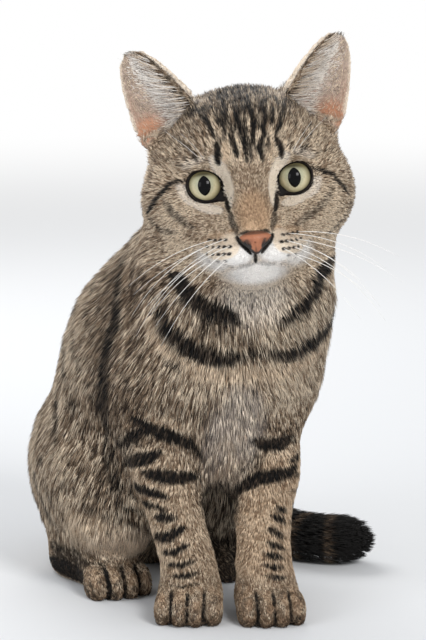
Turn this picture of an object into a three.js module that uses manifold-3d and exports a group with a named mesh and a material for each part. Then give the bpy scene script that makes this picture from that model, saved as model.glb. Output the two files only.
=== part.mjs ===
// A sitting tabby cat, life size, as a still display model. Millimetres, +Z up, the face looks along -Y.
// The body is one smooth blend of muscle and fur masses, given as a distance function. A net of triangles
// is laid over it, and flat cuts part it into the pieces that a person would name.
import * as THREE from "three";
import Module from "manifold-3d";
import { mergeVertices } from "three/addons/utils/BufferGeometryUtils.js";

const wasm = await Module();
wasm.setup();
const { Manifold, Mesh } = wasm;

// Driving sizes
const EYE_HEIGHT = 246; // above the floor
const EYE_SPACING = 48.4; // from pupil to pupil
const EYEBALL_RADIUS = 11;
const HEAD_WIDTH = 118; // over the fur of the cheeks
const EAR_HEIGHT = 51; // from the middle of its base to the tip
const EAR_WIDTH = 42;
const SHOULDER_HEIGHT = 150;
const HIP_WIDTH = 128; // over the fur of both thighs
const HIND_FOOT = 106; // from heel to toes
const PAW_WIDTH = 38;
const TAIL_RADIUS = 15.5;
const HIND_TURN = 29; // degrees, from the way the face looks to the way the hips face
const CUT = 0.4; // the width of a cut between two pieces

const RAD = Math.PI / 180;
const SIDES = { right: -1, left: 1 }; // the cat's own right and left; its left is towards +X

const vec = (x, y, z) => new THREE.Vector3(x, y, z);
const mix = (a, b, t) => a + (b - a) * t;

// Frames. In each, +X is towards the cat's left, +Y backwards and +Z up. Turns are in degrees.
function frameAt(place, { turn = 0, nod = 0, lean = 0 } = {}) {
  const spin = new THREE.Euler(nod * RAD, lean * RAD, turn * RAD, "ZXY");
  const matrix = new THREE.Matrix4().makeRotationFromEuler(spin).setPosition(...place);
  const inverse = matrix.clone().invert();
  const local = vec(0, 0, 0);
  return {
    matrix,
    inward: (p) => local.copy(p).applyMatrix4(inverse),
    outward: (place) => vec(...place).applyMatrix4(matrix).toArray(),
  };
}

const world = frameAt([0, 0, 0]);
const headFrame = frameAt([20, 4, EYE_HEIGHT], { turn: 2.5, nod: -6, lean: -5 });
const hipFrame = frameAt([-54, 148, 0], { turn: HIND_TURN });
const FOOT_OUT = 40; // a hind foot's distance from the cat's middle
const FOOT_AHEAD = 64.5; // the hind paws' distance in front of the hips
const FOOT_SPLAY = 7; // degrees that each hind foot turns out
const paws = {
  foreRight: frameAt([-13, 19, 0], { turn: -4 }),
  foreLeft: frameAt([31, 18, 0], { turn: 9 }),
  hindRight: frameAt(hipFrame.outward([-FOOT_OUT, -FOOT_AHEAD, 0]), { turn: HIND_TURN - FOOT_SPLAY }),
  hindLeft: frameAt(hipFrame.outward([FOOT_OUT, -FOOT_AHEAD, 0]), { turn: HIND_TURN + FOOT_SPLAY }),
};

// Distance functions
function blend(a, b, soft) {
  const h = Math.max(soft - Math.abs(a - b), 0) / soft;
  return Math.min(a, b) - (h * h * soft) / 4;
}

const blendAll = (distances, soft) => distances.reduce((a, b) => blend(a, b, soft));

const carve = (solid, hollow, soft) => -blend(-solid, hollow, soft);

const step = (from, to, value) => {
  const t = Math.min(1, Math.max(0, (value - from) / (to - from)));
  return t * t * (3 - 2 * t);
};

function ellipsoid(p, [cx, cy, cz], [rx, ry, rz]) {
  const [x, y, z] = [(p.x - cx) / rx, (p.y - cy) / ry, (p.z - cz) / rz];
  const near = Math.hypot(x, y, z);
  const slope = Math.hypot(x / rx, y / ry, z / rz);
  return slope === 0 ? -Math.min(rx, ry, rz) : (near * (near - 1)) / slope;
}

// A limb from a to b, whose radius runs from ra to rb
function limb(p, [ax, ay, az], [bx, by, bz], ra, rb) {
  const [dx, dy, dz] = [bx - ax, by - ay, bz - az];
  const [px, py, pz] = [p.x - ax, p.y - ay, p.z - az];
  const along = (px * dx + py * dy + pz * dz) / (dx * dx + dy * dy + dz * dz);
  const t = Math.min(1, Math.max(0, along));
  return Math.hypot(px - t * dx, py - t * dy, pz - t * dz) - mix(ra, rb, t);
}

const bothSides = (shape) => Object.values(SIDES).map(shape);

// Trunk
function hindquarters(p) {
  const q = hipFrame.inward(p);
  const half = HIP_WIDTH / 2;
  return blendAll(
    [
      ellipsoid(q, [0, 4, 56], [48, 52, 62]), // rump
      ellipsoid(q, [-3, -30, 95], [49, 56, 75]), // loins and belly
      ...bothSides((side) => ellipsoid(q, [side * (half - 28), -28, 64], [27, 56, 47])), // thighs
      ...bothSides((side) => limb(q, [side * 37, -44, 64], [side * 41, -66, 46], 28, 21)), // knees
      ...bothSides((side) => ellipsoid(q, [side * 38, -24, 7], [17, 30, 13])), // hocks' fur
    ],
    22,
  );
}

function forequarters(p) {
  return blendAll(
    [
      ellipsoid(p, [-24, 97, 138], [59, 58, 65]), // ribs
      ellipsoid(p, [5, 62, SHOULDER_HEIGHT], [51, 42, 62]), // breast
      ellipsoid(p, [-3, 88, 182], [42, 42, 38]), // withers
      ellipsoid(p, [-31, 60, 126], [26, 32, 50]), // right shoulder
      ellipsoid(p, [35, 56, 148], [26, 32, 46]), // left shoulder
      limb(p, [4, 40, 130], [7, 36, 84], 24, 13), // fur of the breast
    ],
    24,
  );
}

function neck(p) {
  return blendAll(
    [
      limb(p, [8, 72, 178], [18, 52, 236], 53, 43), // nape and throat
      ellipsoid(p, [14, 44, 186], [53, 34, 34]), // ruff
    ],
    20,
  );
}

// Head
const MUZZLE_ASIDE = 1.4; // how far the muzzle and nose stand towards the cat's right
const eyePlace = (side) => [(side * EYE_SPACING) / 2, EYEBALL_RADIUS - 2, 0];
const fromMuzzle = (q) => vec(q.x + MUZZLE_ASIDE, q.y, q.z);

function skull(p) {
  const half = HEAD_WIDTH / 2;
  return blendAll(
    [
      ellipsoid(p, [0, 40, 13], [half - 10, 45, 40]), // cranium
      ellipsoid(p, [0, 12, 20], [31, 21, 22]), // forehead
      ellipsoid(p, [0, 16, -26], [37, 27, 24]), // lower face
      ...bothSides((side) => ellipsoid(p, [side * (half - 26), 33, -8], [26, 29, 28])), // cheeks
    ],
    14,
  );
}

function muzzle(p) {
  return blendAll(
    [
      limb(p, [0, 1, 3], [0, -16, -25], 13, 8.5), // bridge of the nose
      ...bothSides((side) => ellipsoid(p, [side * 10.5, -11, -39], [14.5, 13.5, 10])), // whisker pads
      ellipsoid(p, [0, -7, -49], [13, 12, 8.5]), // chin
      ...bothSides((side) => limb(p, [side * 8, 0, -44], [side * 28, 30, -34], 10, 16)), // jaw
    ],
    7,
  );
}

function head(p) {
  const q = headFrame.inward(p);
  let d = blend(skull(q), muzzle(fromMuzzle(q)), 12);
  for (const side of Object.values(SIDES)) {
    const [x, , z] = eyePlace(side);
    d = carve(d, ellipsoid(q, [x, -5, z], [12, 8.5, 11]), 8); // hollow round the eye
    d = carve(d, ellipsoid(q, [side * 38, 38, 36], [12, 10, 15]), 5); // foot of the ear's cup
  }
  return d;
}

// Nose leather, with its two nostrils, in the head's frame
function noseLeather(q) {
  let d = blend(
    ellipsoid(q, [0, -23.5, -29.5], [8.4, 5, 3.9]),
    ellipsoid(q, [0, -24, -34], [4.4, 4.2, 5.8]),
    4,
  );
  for (const side of Object.values(SIDES)) {
    d = carve(d, ellipsoid(q, [side * 5.4, -28, -33.2], [2.3, 3.2, 1.6]), 1.2);
  }
  return d;
}

// Legs
const forelegs = {
  right: { shoulder: [-31, 58, 118], elbow: [-27, 44, 82], wrist: [-15, 27, 30] },
  left: { shoulder: [26, 52, 122], elbow: [29, 40, 82], wrist: [28, 26, 30] },
};

function foreleg(p, { shoulder, elbow, wrist }) {
  return blend(limb(p, shoulder, elbow, 24, 18), limb(p, elbow, wrist, 18.5, 14), 10);
}

// A paw with four toes, in the paw's frame, whose origin is on the floor under its middle
function paw(q, width) {
  const length = width * 1.2;
  const palm = ellipsoid(q, [0, 6, 11], [width * 0.46, length * 0.42, 14.5]);
  const toes = [-1.5, -0.5, 0.5, 1.5].map((n) => {
    const back = Math.abs(n) * 3.4 - 12.5;
    return ellipsoid(q, [n * width * 0.235, back, 7], [width * 0.145, length * 0.27, 11]);
  });
  return blend(palm, blendAll(toes, 2.5), 5);
}

function forepaw(p, frame) {
  const q = frame.inward(p);
  return blend(paw(q, PAW_WIDTH), limb(q, [0, 8, 14], [0, 9, 34], 14.5, 14), 9);
}

function hindFoot(p, frame) {
  const q = frame.inward(p);
  return blend(paw(q, PAW_WIDTH - 2), limb(q, [0, 10, 12], [0, HIND_FOOT - 30, 13], 14, 13.5), 8);
}

function body(p) {
  const hips = hindquarters(p);
  let front = blendAll([forequarters(p), neck(p), head(p)], 20);
  const rightLeg = blend(foreleg(p, forelegs.right), forepaw(p, paws.foreRight), 6);
  const leftLeg = blend(foreleg(p, forelegs.left), forepaw(p, paws.foreLeft), 6);
  const legsApart = mix(0.5, 12, step(34, 72, p.z)); // the forepaws stand clear of each other
  front = blend(blend(front, rightLeg, 12), leftLeg, legsApart);
  const feet = blend(hindFoot(p, paws.hindRight), hindFoot(p, paws.hindLeft), 1);
  const soft = mix(3, 28, step(80, 125, p.z)); // knees and forelegs touch, and the back runs smoothly
  return blend(blend(front, hips, soft), feet, 5);
}

// The tail lies on the floor, from the rump round the left thigh, with its tip out to the left.
const TAIL_LEVEL = TAIL_RADIUS - 0.8;
const TAIL_ROUND = 0.955; // the share of its length where the tip starts to round off
const tailLine = new THREE.CatmullRomCurve3([
  vec(-62, 178, 34),
  vec(-56, 200, 21),
  vec(-26, 212, TAIL_LEVEL),
  vec(10, 199, TAIL_LEVEL),
  vec(35, 166, TAIL_LEVEL),
  vec(60, 141, TAIL_LEVEL),
  vec(100.5, 134, TAIL_LEVEL),
]);

// The corners of a cell, numbered by bits, and its twelve edges and six faces
const CELL_CORNERS = [0, 1, 2, 3, 4, 5, 6, 7];
const CELL_EDGES = CELL_CORNERS.flatMap((n) =>
  [1, 2, 4].filter((bit) => !(n & bit)).map((bit) => [n, n | bit]),
);
const CELL_FACES = [1, 2, 4].flatMap((bit) =>
  [0, bit].map((side) => CELL_EDGES.flatMap((edge, e) =>
    edge.every((n) => (n & bit) === side) ? [e] : [],
  )),
);

// The patches of surface in a cell whose inside corners are given: for each edge that the surface
// crosses, the number of its patch, and -1 for the others. Two parts that touch at a corner stay apart.
const patchesOf = [...Array(256).keys()].map((inside) => {
  const isIn = (n) => ((inside >> n) & 1) === 1;
  const crossed = CELL_EDGES.map(([a, b]) => isIn(a) !== isIn(b));
  let patch = CELL_EDGES.map((_, e) => e);
  const join = (e, f) => {
    const [kept, lost] = [patch[e], patch[f]];
    patch = patch.map((number) => (number === lost ? kept : number));
  };
  const shareInside = (e, f) => CELL_EDGES[e].some((n) => isIn(n) && CELL_EDGES[f].includes(n));
  for (const face of CELL_FACES) {
    const cut = face.filter((e) => crossed[e]);
    for (const e of cut)
      for (const f of cut) if (e < f && (cut.length === 2 || shareInside(e, f))) join(e, f);
  }
  return patch.map((number, e) => (crossed[e] ? number : -1));
});

// A net of triangles over the surface where a distance is zero. The sides of the box from low to high
// close it where the surface runs out of the box.
function netOf(distance, low, high, cell) {
  const [nx, ny, nz] = [0, 1, 2].map((k) => Math.ceil((high[k] - low[k]) / cell) + 2);
  const at = (i, j, k) => (k * ny + j) * nx + i;
  const place = (i, j, k) => vec(...[i, j, k].map((n, axis) => low[axis] + (n - 0.5) * cell));
  const values = new Float64Array(nx * ny * nz);
  for (let n = 0; n < values.length; n += 1) {
    const [i, j, k] = [n % nx, Math.floor(n / nx) % ny, Math.floor(n / (nx * ny))];
    const onSide = [i, nx - 1 - i, j, ny - 1 - j, k, nz - 1 - k].includes(0);
    values[n] = onSide ? cell : distance(place(i, j, k));
  }
  const everyCell = (visit) => {
    for (let k = 0; k < nz - 1; k += 1)
      for (let j = 0; j < ny - 1; j += 1)
        for (let i = 0; i < nx - 1; i += 1) visit(i, j, k);
  };

  const vertexOf = new Map();
  const positions = [];
  everyCell((i, j, k) => {
    const corners = CELL_CORNERS.map((n) => [i + (n & 1), j + ((n >> 1) & 1), k + (n >> 2)]);
    const here = corners.map((corner) => values[at(...corner)]);
    const patch = patchesOf[here.reduce((bits, v, n) => bits | (v < 0 ? 1 << n : 0), 0)];
    for (const number of new Set(patch.filter((one) => one >= 0))) {
      const middle = vec(0, 0, 0);
      const edges = CELL_EDGES.map((_, e) => e).filter((e) => patch[e] === number);
      for (const e of edges) {
        const [a, b] = CELL_EDGES[e];
        const share = here[a] / (here[a] - here[b]);
        middle.add(place(...corners[a]).lerp(place(...corners[b]), share));
        vertexOf.set(at(i, j, k) * 12 + e, positions.length / 3);
      }
      positions.push(...settle(middle.divideScalar(edges.length), distance, cell).toArray());
    }
  });

  const index = [];
  const between = (a, b) =>
    Math.hypot(...[0, 1, 2].map((k) => positions[3 * a + k] - positions[3 * b + k]));
  const addQuad = ([a, b, c, d]) =>
    index.push(...(between(a, c) < between(b, d) ? [a, b, c, a, c, d] : [a, b, d, b, c, d]));
  const unit = [[1, 0, 0], [0, 1, 0], [0, 0, 1]];
  everyCell((i, j, k) => {
    unit.forEach((along, axis) => {
      const inside = values[at(i, j, k)] < 0;
      if (inside === values[at(i + along[0], j + along[1], k + along[2])] < 0) return;
      const [uBit, vBit] = [1 << ((axis + 1) % 3), 1 << ((axis + 2) % 3)];
      const ring = [0, uBit, uBit | vBit, vBit].map((from) => {
        const edge = CELL_EDGES.findIndex(([a, b]) => a === from && b === (from | (1 << axis)));
        return vertexOf.get(at(i - (from & 1), j - ((from >> 1) & 1), k - (from >> 2)) * 12 + edge);
      });
      addQuad(inside ? ring : ring.reverse());
    });
  });
  return new THREE.BufferGeometry()
    .setAttribute("position", new THREE.Float32BufferAttribute(positions, 3))
    .setIndex(index);
}

// Moves a point onto the surface, by less than a cell
function settle(start, distance, cell) {
  const p = start.clone();
  const nudge = cell * 0.02;
  const slope = vec(0, 0, 0);
  for (let turn = 0; turn < 3; turn += 1) {
    const d = distance(p);
    ["x", "y", "z"].forEach((axis) => {
      const [ahead, behind] = [p.clone(), p.clone()];
      ahead[axis] += nudge;
      behind[axis] -= nudge;
      slope[axis] = (distance(ahead) - distance(behind)) / (2 * nudge);
    });
    const steep = slope.lengthSq();
    if (steep < 0.05) break;
    p.addScaledVector(slope, -d / steep);
  }
  return start.distanceTo(p) < cell * 0.5 ? p : start;
}

// A closed surface through rings of points, all with the same even number of points. Each end is
// closed by strips from side to side.
function loft(rings) {
  const count = rings[0].length;
  const index = [];
  const quad = (a, b, c, d) => index.push(a, b, c, a, c, d);
  for (let r = 1; r < rings.length; r += 1)
    for (let n = 0; n < count; n += 1) {
      const next = (n + 1) % count;
      quad((r - 1) * count + n, (r - 1) * count + next, r * count + next, r * count + n);
    }
  const last = (rings.length - 1) * count;
  for (let n = 0; n < count / 2 - 1; n += 1) {
    const across = count - 1 - n;
    quad(n, across, across - 1, n + 1);
    quad(last + n, last + n + 1, last + across - 1, last + across);
  }
  return new THREE.BufferGeometry()
    .setAttribute("position", new THREE.Float32BufferAttribute(rings.flat(2), 3))
    .setIndex(index);
}

// Ears: a curved sheet from a foot buried in the skull to a round tip, open forwards and outwards
const EAR_THICK = 3.4;
const EAR_ROWS = 9;
const EAR_COLUMNS = 6;
function ear(side, grow) {
  const foot = vec(36, 36, 32);
  const up = vec(0.45, 0.06, 0.89).normalize();
  const across = vec(0.8, 0.32, -0.5).projectOnPlane(up).normalize();
  const front = across.clone().cross(up).normalize();
  const rings = [];
  for (let row = 0; row <= EAR_ROWS; row += 1) {
    const share = row / EAR_ROWS; // the rows lie closer towards the round tip
    const t = mix(-0.28, 0.985, share * (1.6 - 0.6 * share));
    const rise = Math.max(t, 0);
    const narrow = 0.3 * (1 - rise) + 0.7 * Math.sqrt(1 - rise * rise);
    const half = (EAR_WIDTH / 2) * narrow;
    const curl = 0.8 * half * (1 - 0.4 * rise);
    const past = { 0: -grow, [EAR_ROWS]: grow }[row] ?? 0;
    const along = t * EAR_HEIGHT + past;
    const spot = (s, thick) =>
      foot.clone()
        .addScaledVector(up, along)
        .addScaledVector(across, s * (half + grow))
        .addScaledVector(front, curl * (s * s - 0.75) + thick);
    const columns = [...Array(EAR_COLUMNS + 1).keys()].map((c) => (2 * c) / EAR_COLUMNS - 1);
    const thick = (s) => (EAR_THICK / 2) * (1 - 0.3 * s * s) + 1.3 * grow;
    const inner = columns.map((s) => spot(s, thick(s)));
    const outer = columns.map((s) => spot(s, -thick(s))).reverse();
    rings.push([...inner, ...outer].map((p) => [side * p.x, p.y, p.z]));
  }
  return loft(side > 0 ? rings : rings.map((ring) => ring.reverse())).applyMatrix4(headFrame.matrix);
}

const eyeball = (side, grow) =>
  new THREE.IcosahedronGeometry(EYEBALL_RADIUS + grow, 2)
    .translate(...eyePlace(side))
    .applyMatrix4(headFrame.matrix);

const noseTip = (grow) =>
  netOf((q) => noseLeather(q) - grow, [-12, -34, -44], [12, -14, -22], 3)
    .translate(-MUZZLE_ASIDE, 0, 0)
    .applyMatrix4(headFrame.matrix);

// A length of the tail, between two shares of its line
const TAIL_SIDES = 12;
const TAIL_SPLITS = { tail_base: [0, 0.38], tail_middle: [0.38, 0.7], tail_tip: [0.7, 1] };
function tailLength([from, to], grow) {
  const steps = Math.ceil((to - from) * 22);
  const rings = [];
  for (let n = 0; n <= steps; n += 1) {
    const u = mix(from, to, n / steps);
    const ahead = tailLine.getTangentAt(u);
    const past = { 0: -CUT / 2, [steps]: CUT / 2 }[n] ?? 0;
    const middle = tailLine.getPointAt(u).addScaledVector(ahead, past * (grow > 0 ? 1 : -1));
    const sideways = vec(0, 0, 1).cross(ahead).normalize();
    const up = ahead.clone().cross(sideways);
    const nearTip = Math.max(0, (u - TAIL_ROUND) / (1 - TAIL_ROUND));
    const radius = TAIL_RADIUS * Math.sqrt(Math.max(0, 1 - nearTip ** 3)) + grow;
    rings.push([...Array(TAIL_SIDES).keys()].map((k) => {
      const angle = ((k + 0.5) / TAIL_SIDES) * 2 * Math.PI;
      return middle.clone()
        .addScaledVector(sideways, radius * Math.cos(angle))
        .addScaledVector(up, radius * Math.sin(angle))
        .toArray();
    }));
  }
  return loft(rings);
}

// Joins and cuts
function solidOf(geometry) {
  const plain = geometry.index ? geometry.toNonIndexed() : geometry.clone();
  plain.deleteAttribute("normal");
  plain.deleteAttribute("uv");
  const merged = mergeVertices(plain, 1e-4);
  return new Manifold(
    new Mesh({
      numProp: 3,
      vertProperties: new Float32Array(merged.attributes.position.array),
      triVerts: new Uint32Array(merged.index.array),
    }),
  );
}

function geometryOf(solid) {
  const mesh = solid.getMesh();
  return new THREE.BufferGeometry()
    .setAttribute("position", new THREE.Float32BufferAttribute(mesh.vertProperties, 3))
    .setIndex(Array.from(mesh.triVerts));
}

// A wall of solid behind a plane, from which a cut takes its flat face
const WALL = 600;
function wall(frame, place, facing, apart) {
  const out = vec(...facing).normalize();
  const middle = vec(...place).addScaledVector(out, apart - WALL / 2);
  const turn = new THREE.Quaternion().setFromUnitVectors(vec(0, 0, 1), out);
  const geometry = new THREE.BoxGeometry(WALL, WALL, WALL).applyQuaternion(turn);
  return solidOf(geometry.translate(...middle.toArray()).applyMatrix4(frame.matrix));
}

// The room that a region takes: all that lies behind its planes, each a place and the way it faces
const roomOf = ({ frame, planes }, apart) =>
  planes.map(([place, facing]) => wall(frame, place, facing, apart)).reduce((a, b) => a.intersect(b));

// The body's net inside three boxes, above the floor, each with cells as fine as its shapes ask for
const ground = wall(world, [0, 0, 0], [0, 0, -1], 0);
const netBetween = (low, high, cell) => solidOf(netOf(body, low, high, cell)).intersect(ground);
const nets = {
  head: netBetween([-60, -40, 172], [95, 125, 306], 7),
  feet: netBetween([-120, -30, -8], [70, 190, 46], 7.4),
  legs: netBetween([-80, -10, 0], [80, 100, 160], 11),
  trunk: netBetween([-135, -20, -12], [95, 230, 262], 17.5),
};

// Regions of the body. Each is cut from what the regions before it leave.
const [UP, BACK, LEFT, RIGHT] = [[0, 0, 1], [0, 1, 0], [1, 0, 0], [-1, 0, 0]];
const pawTop = [[0, 0, 27], [0, -0.25, 1]];
const regions = {
  jaw: {
    net: nets.head,
    frame: headFrame,
    color: "#cdbfae",
    planes: [
      [[0, -20, -45.5], [0, 0.12, 1]],
      [[0, 13, -50], [0, 1, -0.3]],
      [[0, 0, -60], [0, 0.3, -1]],
      [[23, 0, 0], LEFT],
      [[-23, 0, 0], RIGHT],
    ],
  },
  head: {
    net: nets.head,
    frame: headFrame,
    color: "#9c8467",
    planes: [[[0, 0, -60], [0, 0.3, -1]], [[0, 30, -51], [0, 1, -0.9]]],
  },
  neck: {
    net: nets.trunk,
    frame: world,
    color: "#8d7b66",
    planes: [[[0, 5, 166], [0, 0.316, -0.949]]],
  },
  front_paw_right: {
    net: nets.feet,
    frame: paws.foreRight,
    color: "#8b6f52",
    planes: [pawTop, [[21.5, 0, 0], LEFT], [[-24, 0, 0], RIGHT], [[0, 36, 0], BACK]],
  },
  front_paw_left: {
    net: nets.feet,
    frame: paws.foreLeft,
    color: "#8b6f52",
    planes: [pawTop, [[26, 0, 0], LEFT], [[-26, 0, 0], RIGHT], [[0, 36, 0], BACK]],
  },
  front_leg_right: {
    net: nets.legs,
    frame: world,
    color: "#8a7c6a",
    planes: [
      [[0, 0, 116], [0.25, 0, 1]],
      [[0, 0, 60], [1, 0, 0.25]],
      [[-37, 47, 60], [-0.8, 0.6, 0]],
      [[0, 82, 60], BACK],
      [[0, 0, 20], [0, 0, -1]],
    ],
  },
  front_leg_left: {
    net: nets.legs,
    frame: world,
    color: "#8a7c6a",
    planes: [
      [[0, 0, 118], [-0.25, 0, 1]],
      [[12, 0, 60], [-1, 0, 0.3]],
      [[0, 74, 60], [0.2, 1, 0.1]],
      [[0, 0, 20], [0, 0, -1]],
    ],
  },
  hind_foot_right: {
    net: nets.feet,
    frame: paws.hindRight,
    color: "#97795a",
    planes: [[[0, 20, 26], UP], [[22, 0, 0], LEFT], [[0, 90, 0], BACK]],
  },
  hind_foot_left: {
    net: nets.feet,
    frame: paws.hindLeft,
    color: "#97795a",
    planes: [[[0, 20, 26], UP], [[-22, 0, 0], RIGHT], [[0, 90, 0], BACK]],
  },
  thigh_right: {
    net: nets.trunk,
    frame: hipFrame,
    color: "#8d7760",
    planes: [[[-31, 0, 0], LEFT], [[0, 0, 112], [0, 0.2, 1]], [[0, 34, 0], [0, 1, 0.2]]],
  },
  thigh_left: {
    net: nets.trunk,
    frame: hipFrame,
    color: "#8d7760",
    planes: [[[31, 0, 0], RIGHT], [[0, 0, 112], [0, 0.2, 1]], [[0, 34, 0], [0, 1, 0.2]]],
  },
  trunk: { net: nets.trunk, frame: world, color: "#85745f", planes: [[[0, 0, 0], [0, 0, -1]]] },
};

const cat = new THREE.Group();
function addNode(name, geometry, color, roughness = 0.8) {
  const material = new THREE.MeshStandardMaterial({ color, roughness, metalness: 0 });
  const mesh = new THREE.Mesh(geometry, material);
  mesh.name = name;
  cat.add(mesh);
}

// What is let into the body, in a socket a little larger than itself
const sockets = [noseTip(CUT), ...Object.values(TAIL_SPLITS).map((ends) => tailLength(ends, CUT))];
for (const side of bothSides((one) => one)) sockets.push(eyeball(side, CUT), ear(side, CUT));
const socketRoom = sockets.map(solidOf).reduce((a, b) => a.add(b));

let taken = null;
for (const [name, region] of Object.entries(regions)) {
  let piece = region.net.intersect(roomOf(region, -CUT / 2)).subtract(socketRoom);
  if (taken) piece = piece.subtract(taken);
  const room = roomOf(region, CUT / 2);
  taken = taken ? taken.add(room) : room;
  addNode(name, geometryOf(piece), region.color);
}

for (const [word, side] of Object.entries(SIDES)) {
  addNode(`eye_${word}`, eyeball(side, 0), "#a9a873", 0.1);
  addNode(`ear_${word}`, ear(side, 0), "#96805f");
}
addNode("nose", noseTip(0), "#8f4a3c", 0.5);

for (const [name, ends] of Object.entries(TAIL_SPLITS)) {
  addNode(name, geometryOf(solidOf(tailLength(ends, 0)).intersect(ground)), "#5a4b3d");
}

// The model's origin is under the middle of its box, on the floor.
const box = new THREE.Box3().setFromObject(cat);
const centre = box.getCenter(vec(0, 0, 0));
cat.position.set(-centre.x, -centre.y, -box.min.z);

export default cat;
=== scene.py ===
"""A sitting tabby cat, life size, as a still display model: its skin, coat, eyes, nose and whiskers.

Places and lengths in the modelling code are in millimetres, and every mesh is made in metres.
In sums, p is points of the whole cat, q points in the frame of one of its parts, d their distances
to a shape, and t shares of a length.
"""

import math

import bpy
import numpy as np
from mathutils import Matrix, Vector
from mathutils.kdtree import KDTree


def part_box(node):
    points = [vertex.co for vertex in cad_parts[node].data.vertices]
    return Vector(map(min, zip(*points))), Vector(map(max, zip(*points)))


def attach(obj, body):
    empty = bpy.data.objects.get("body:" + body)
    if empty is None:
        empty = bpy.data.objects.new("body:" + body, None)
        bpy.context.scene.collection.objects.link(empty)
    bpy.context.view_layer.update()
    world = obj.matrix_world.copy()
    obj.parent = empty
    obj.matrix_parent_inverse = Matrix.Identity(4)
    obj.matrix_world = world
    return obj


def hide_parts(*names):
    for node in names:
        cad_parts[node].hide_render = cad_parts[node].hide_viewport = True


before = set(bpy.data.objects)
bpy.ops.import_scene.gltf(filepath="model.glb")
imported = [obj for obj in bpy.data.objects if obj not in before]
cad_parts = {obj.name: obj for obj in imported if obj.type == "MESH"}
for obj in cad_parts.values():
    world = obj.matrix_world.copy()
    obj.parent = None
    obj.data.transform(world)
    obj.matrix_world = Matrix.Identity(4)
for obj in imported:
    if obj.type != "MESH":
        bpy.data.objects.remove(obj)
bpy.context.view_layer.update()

MM = 0.001
WHOLE_TURN = 2 * math.pi

RIGHT, LEFT = -1, 1  # the cat's own right and left; its left is towards +X
SIDES = (RIGHT, LEFT)
SIDE_NAME = {RIGHT: "right", LEFT: "left"}
FLESH = (
    "head jaw nose neck trunk thigh_right thigh_left front_leg_right front_leg_left "
    "front_paw_right front_paw_left hind_foot_right hind_foot_left ear_right ear_left "
    "tail_base tail_middle tail_tip"
).split()
EARS = [name for name in FLESH if name.startswith("ear")]
TAIL = [name for name in FLESH if name.startswith("tail")]


# Small sums on rows of points


def length_of(v):
    return np.sqrt((v * v).sum(-1))


def unit(v):
    return v / np.maximum(length_of(v), 1e-9)[..., None]


def step(low, high, value):
    """From 0 at `low` to 1 at `high`, easing in and out; `low` may be the greater of the two."""
    t = np.clip((np.asarray(value, float) - low) / (high - low), 0, 1)
    return t * t * (3 - 2 * t)


def mix(a, b, share):
    return a + (b - a) * share


def flat_on(v, normal):
    """v with its part along the normal taken away, one long."""
    return unit(v - (v * normal).sum(-1)[..., None] * normal)


FAR = 1e3  # leaves a side of a box open


def inside(p, low, high):
    """Which points are in a box."""
    return ((p > low) & (p < high)).all(-1)


def oval(a, b, rim=1.2, full=0.5):
    """1 in the middle of an oval, 0 outside it, from how far points are along its half axes."""
    return step(rim, full, np.hypot(a, b))


# Places that the solids give

node_low = {name: np.array(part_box(name)[0]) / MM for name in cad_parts}
node_high = {name: np.array(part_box(name)[1]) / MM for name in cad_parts}


def middle_of(name):
    return (node_low[name] + node_high[name]) / 2


class Place:
    """A turned frame: +X towards the cat's left, +Y backwards, +Z up."""

    def __init__(self, origin, turn=0.0, nod=0.0, lean=0.0):
        a, b, c = (math.radians(angle) for angle in (turn, nod, lean))
        about_z = np.array([[math.cos(a), -math.sin(a), 0], [math.sin(a), math.cos(a), 0], [0, 0, 1]])
        about_x = np.array([[1, 0, 0], [0, math.cos(b), -math.sin(b)], [0, math.sin(b), math.cos(b)]])
        about_y = np.array([[math.cos(c), 0, math.sin(c)], [0, 1, 0], [-math.sin(c), 0, math.cos(c)]])
        self.turned = about_z @ about_x @ about_y
        self.origin = np.array(origin, float)

    def inward(self, p):
        return (p - self.origin) @ self.turned

    def outward(self, q):
        return np.asarray(q, float) @ self.turned.T + self.origin

    def aim(self, direction):
        return np.asarray(direction, float) @ self.turned.T


EYEBALL = 11.0  # an eyeball's radius
TOE_APART = 9.2
EYE_APART = 48.4
EYE_BEHIND = 9.0  # from the head's origin back to the middle of an eyeball
MUZZLE_ASIDE = 1.4  # how far the muzzle and nose stand towards the cat's right
NOSE_MIDDLE = np.array([0, -24, -30])
DRAWN_EYES = np.array([24.93, -86.55, 245.1])  # where the eyes' middle is in the drawn places below
eye_places = {side: middle_of("eye_" + SIDE_NAME[side]) for side in SIDES}
eyes_middle = (eye_places[RIGHT] + eye_places[LEFT]) / 2
head = Place(eyes_middle, turn=2.5, nod=-6, lean=-5)
head.origin = head.outward([0, -EYE_BEHIND, 0])
shift = eyes_middle - DRAWN_EYES  # how far the solids lie from the drawn places
hips = Place(np.array([-48.7, 48.6, 0]) + shift, turn=29)
paw_places = {
    "front_paw_right": Place(np.array([-7.7, -80.4, 0]) + shift, turn=-4),
    "front_paw_left": Place(np.array([36.3, -81.4, 0]) + shift, turn=9),
    "hind_foot_right": Place(hips.outward([-40, -64.5, 0]), turn=22),
    "hind_foot_left": Place(hips.outward([40, -64.5, 0]), turn=36),
}
TAIL_LINE = np.array(
    [
        (-56.7, 78.6, 34),
        (-50.7, 100.6, 21),
        (-20.7, 112.6, 14.7),
        (15.3, 99.6, 14.7),
        (40.3, 66.6, 14.7),
        (65.3, 41.6, 14.7),
        (105.8, 34.6, 14.7),
    ]
)


# The head's shape, in its own frame


def blend(a, b, soft):
    """The nearer of two distances, rounded over where they are within `soft` of each other."""
    h = np.maximum(soft - np.abs(a - b), 0) / soft
    return np.minimum(a, b) - h * h * soft / 4


def blend_all(distances, soft):
    joined = distances[0]
    for other in distances[1:]:
        joined = blend(joined, other, soft)
    return joined


def carve(solid, hollow, soft):
    return -blend(-solid, hollow, soft)


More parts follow.
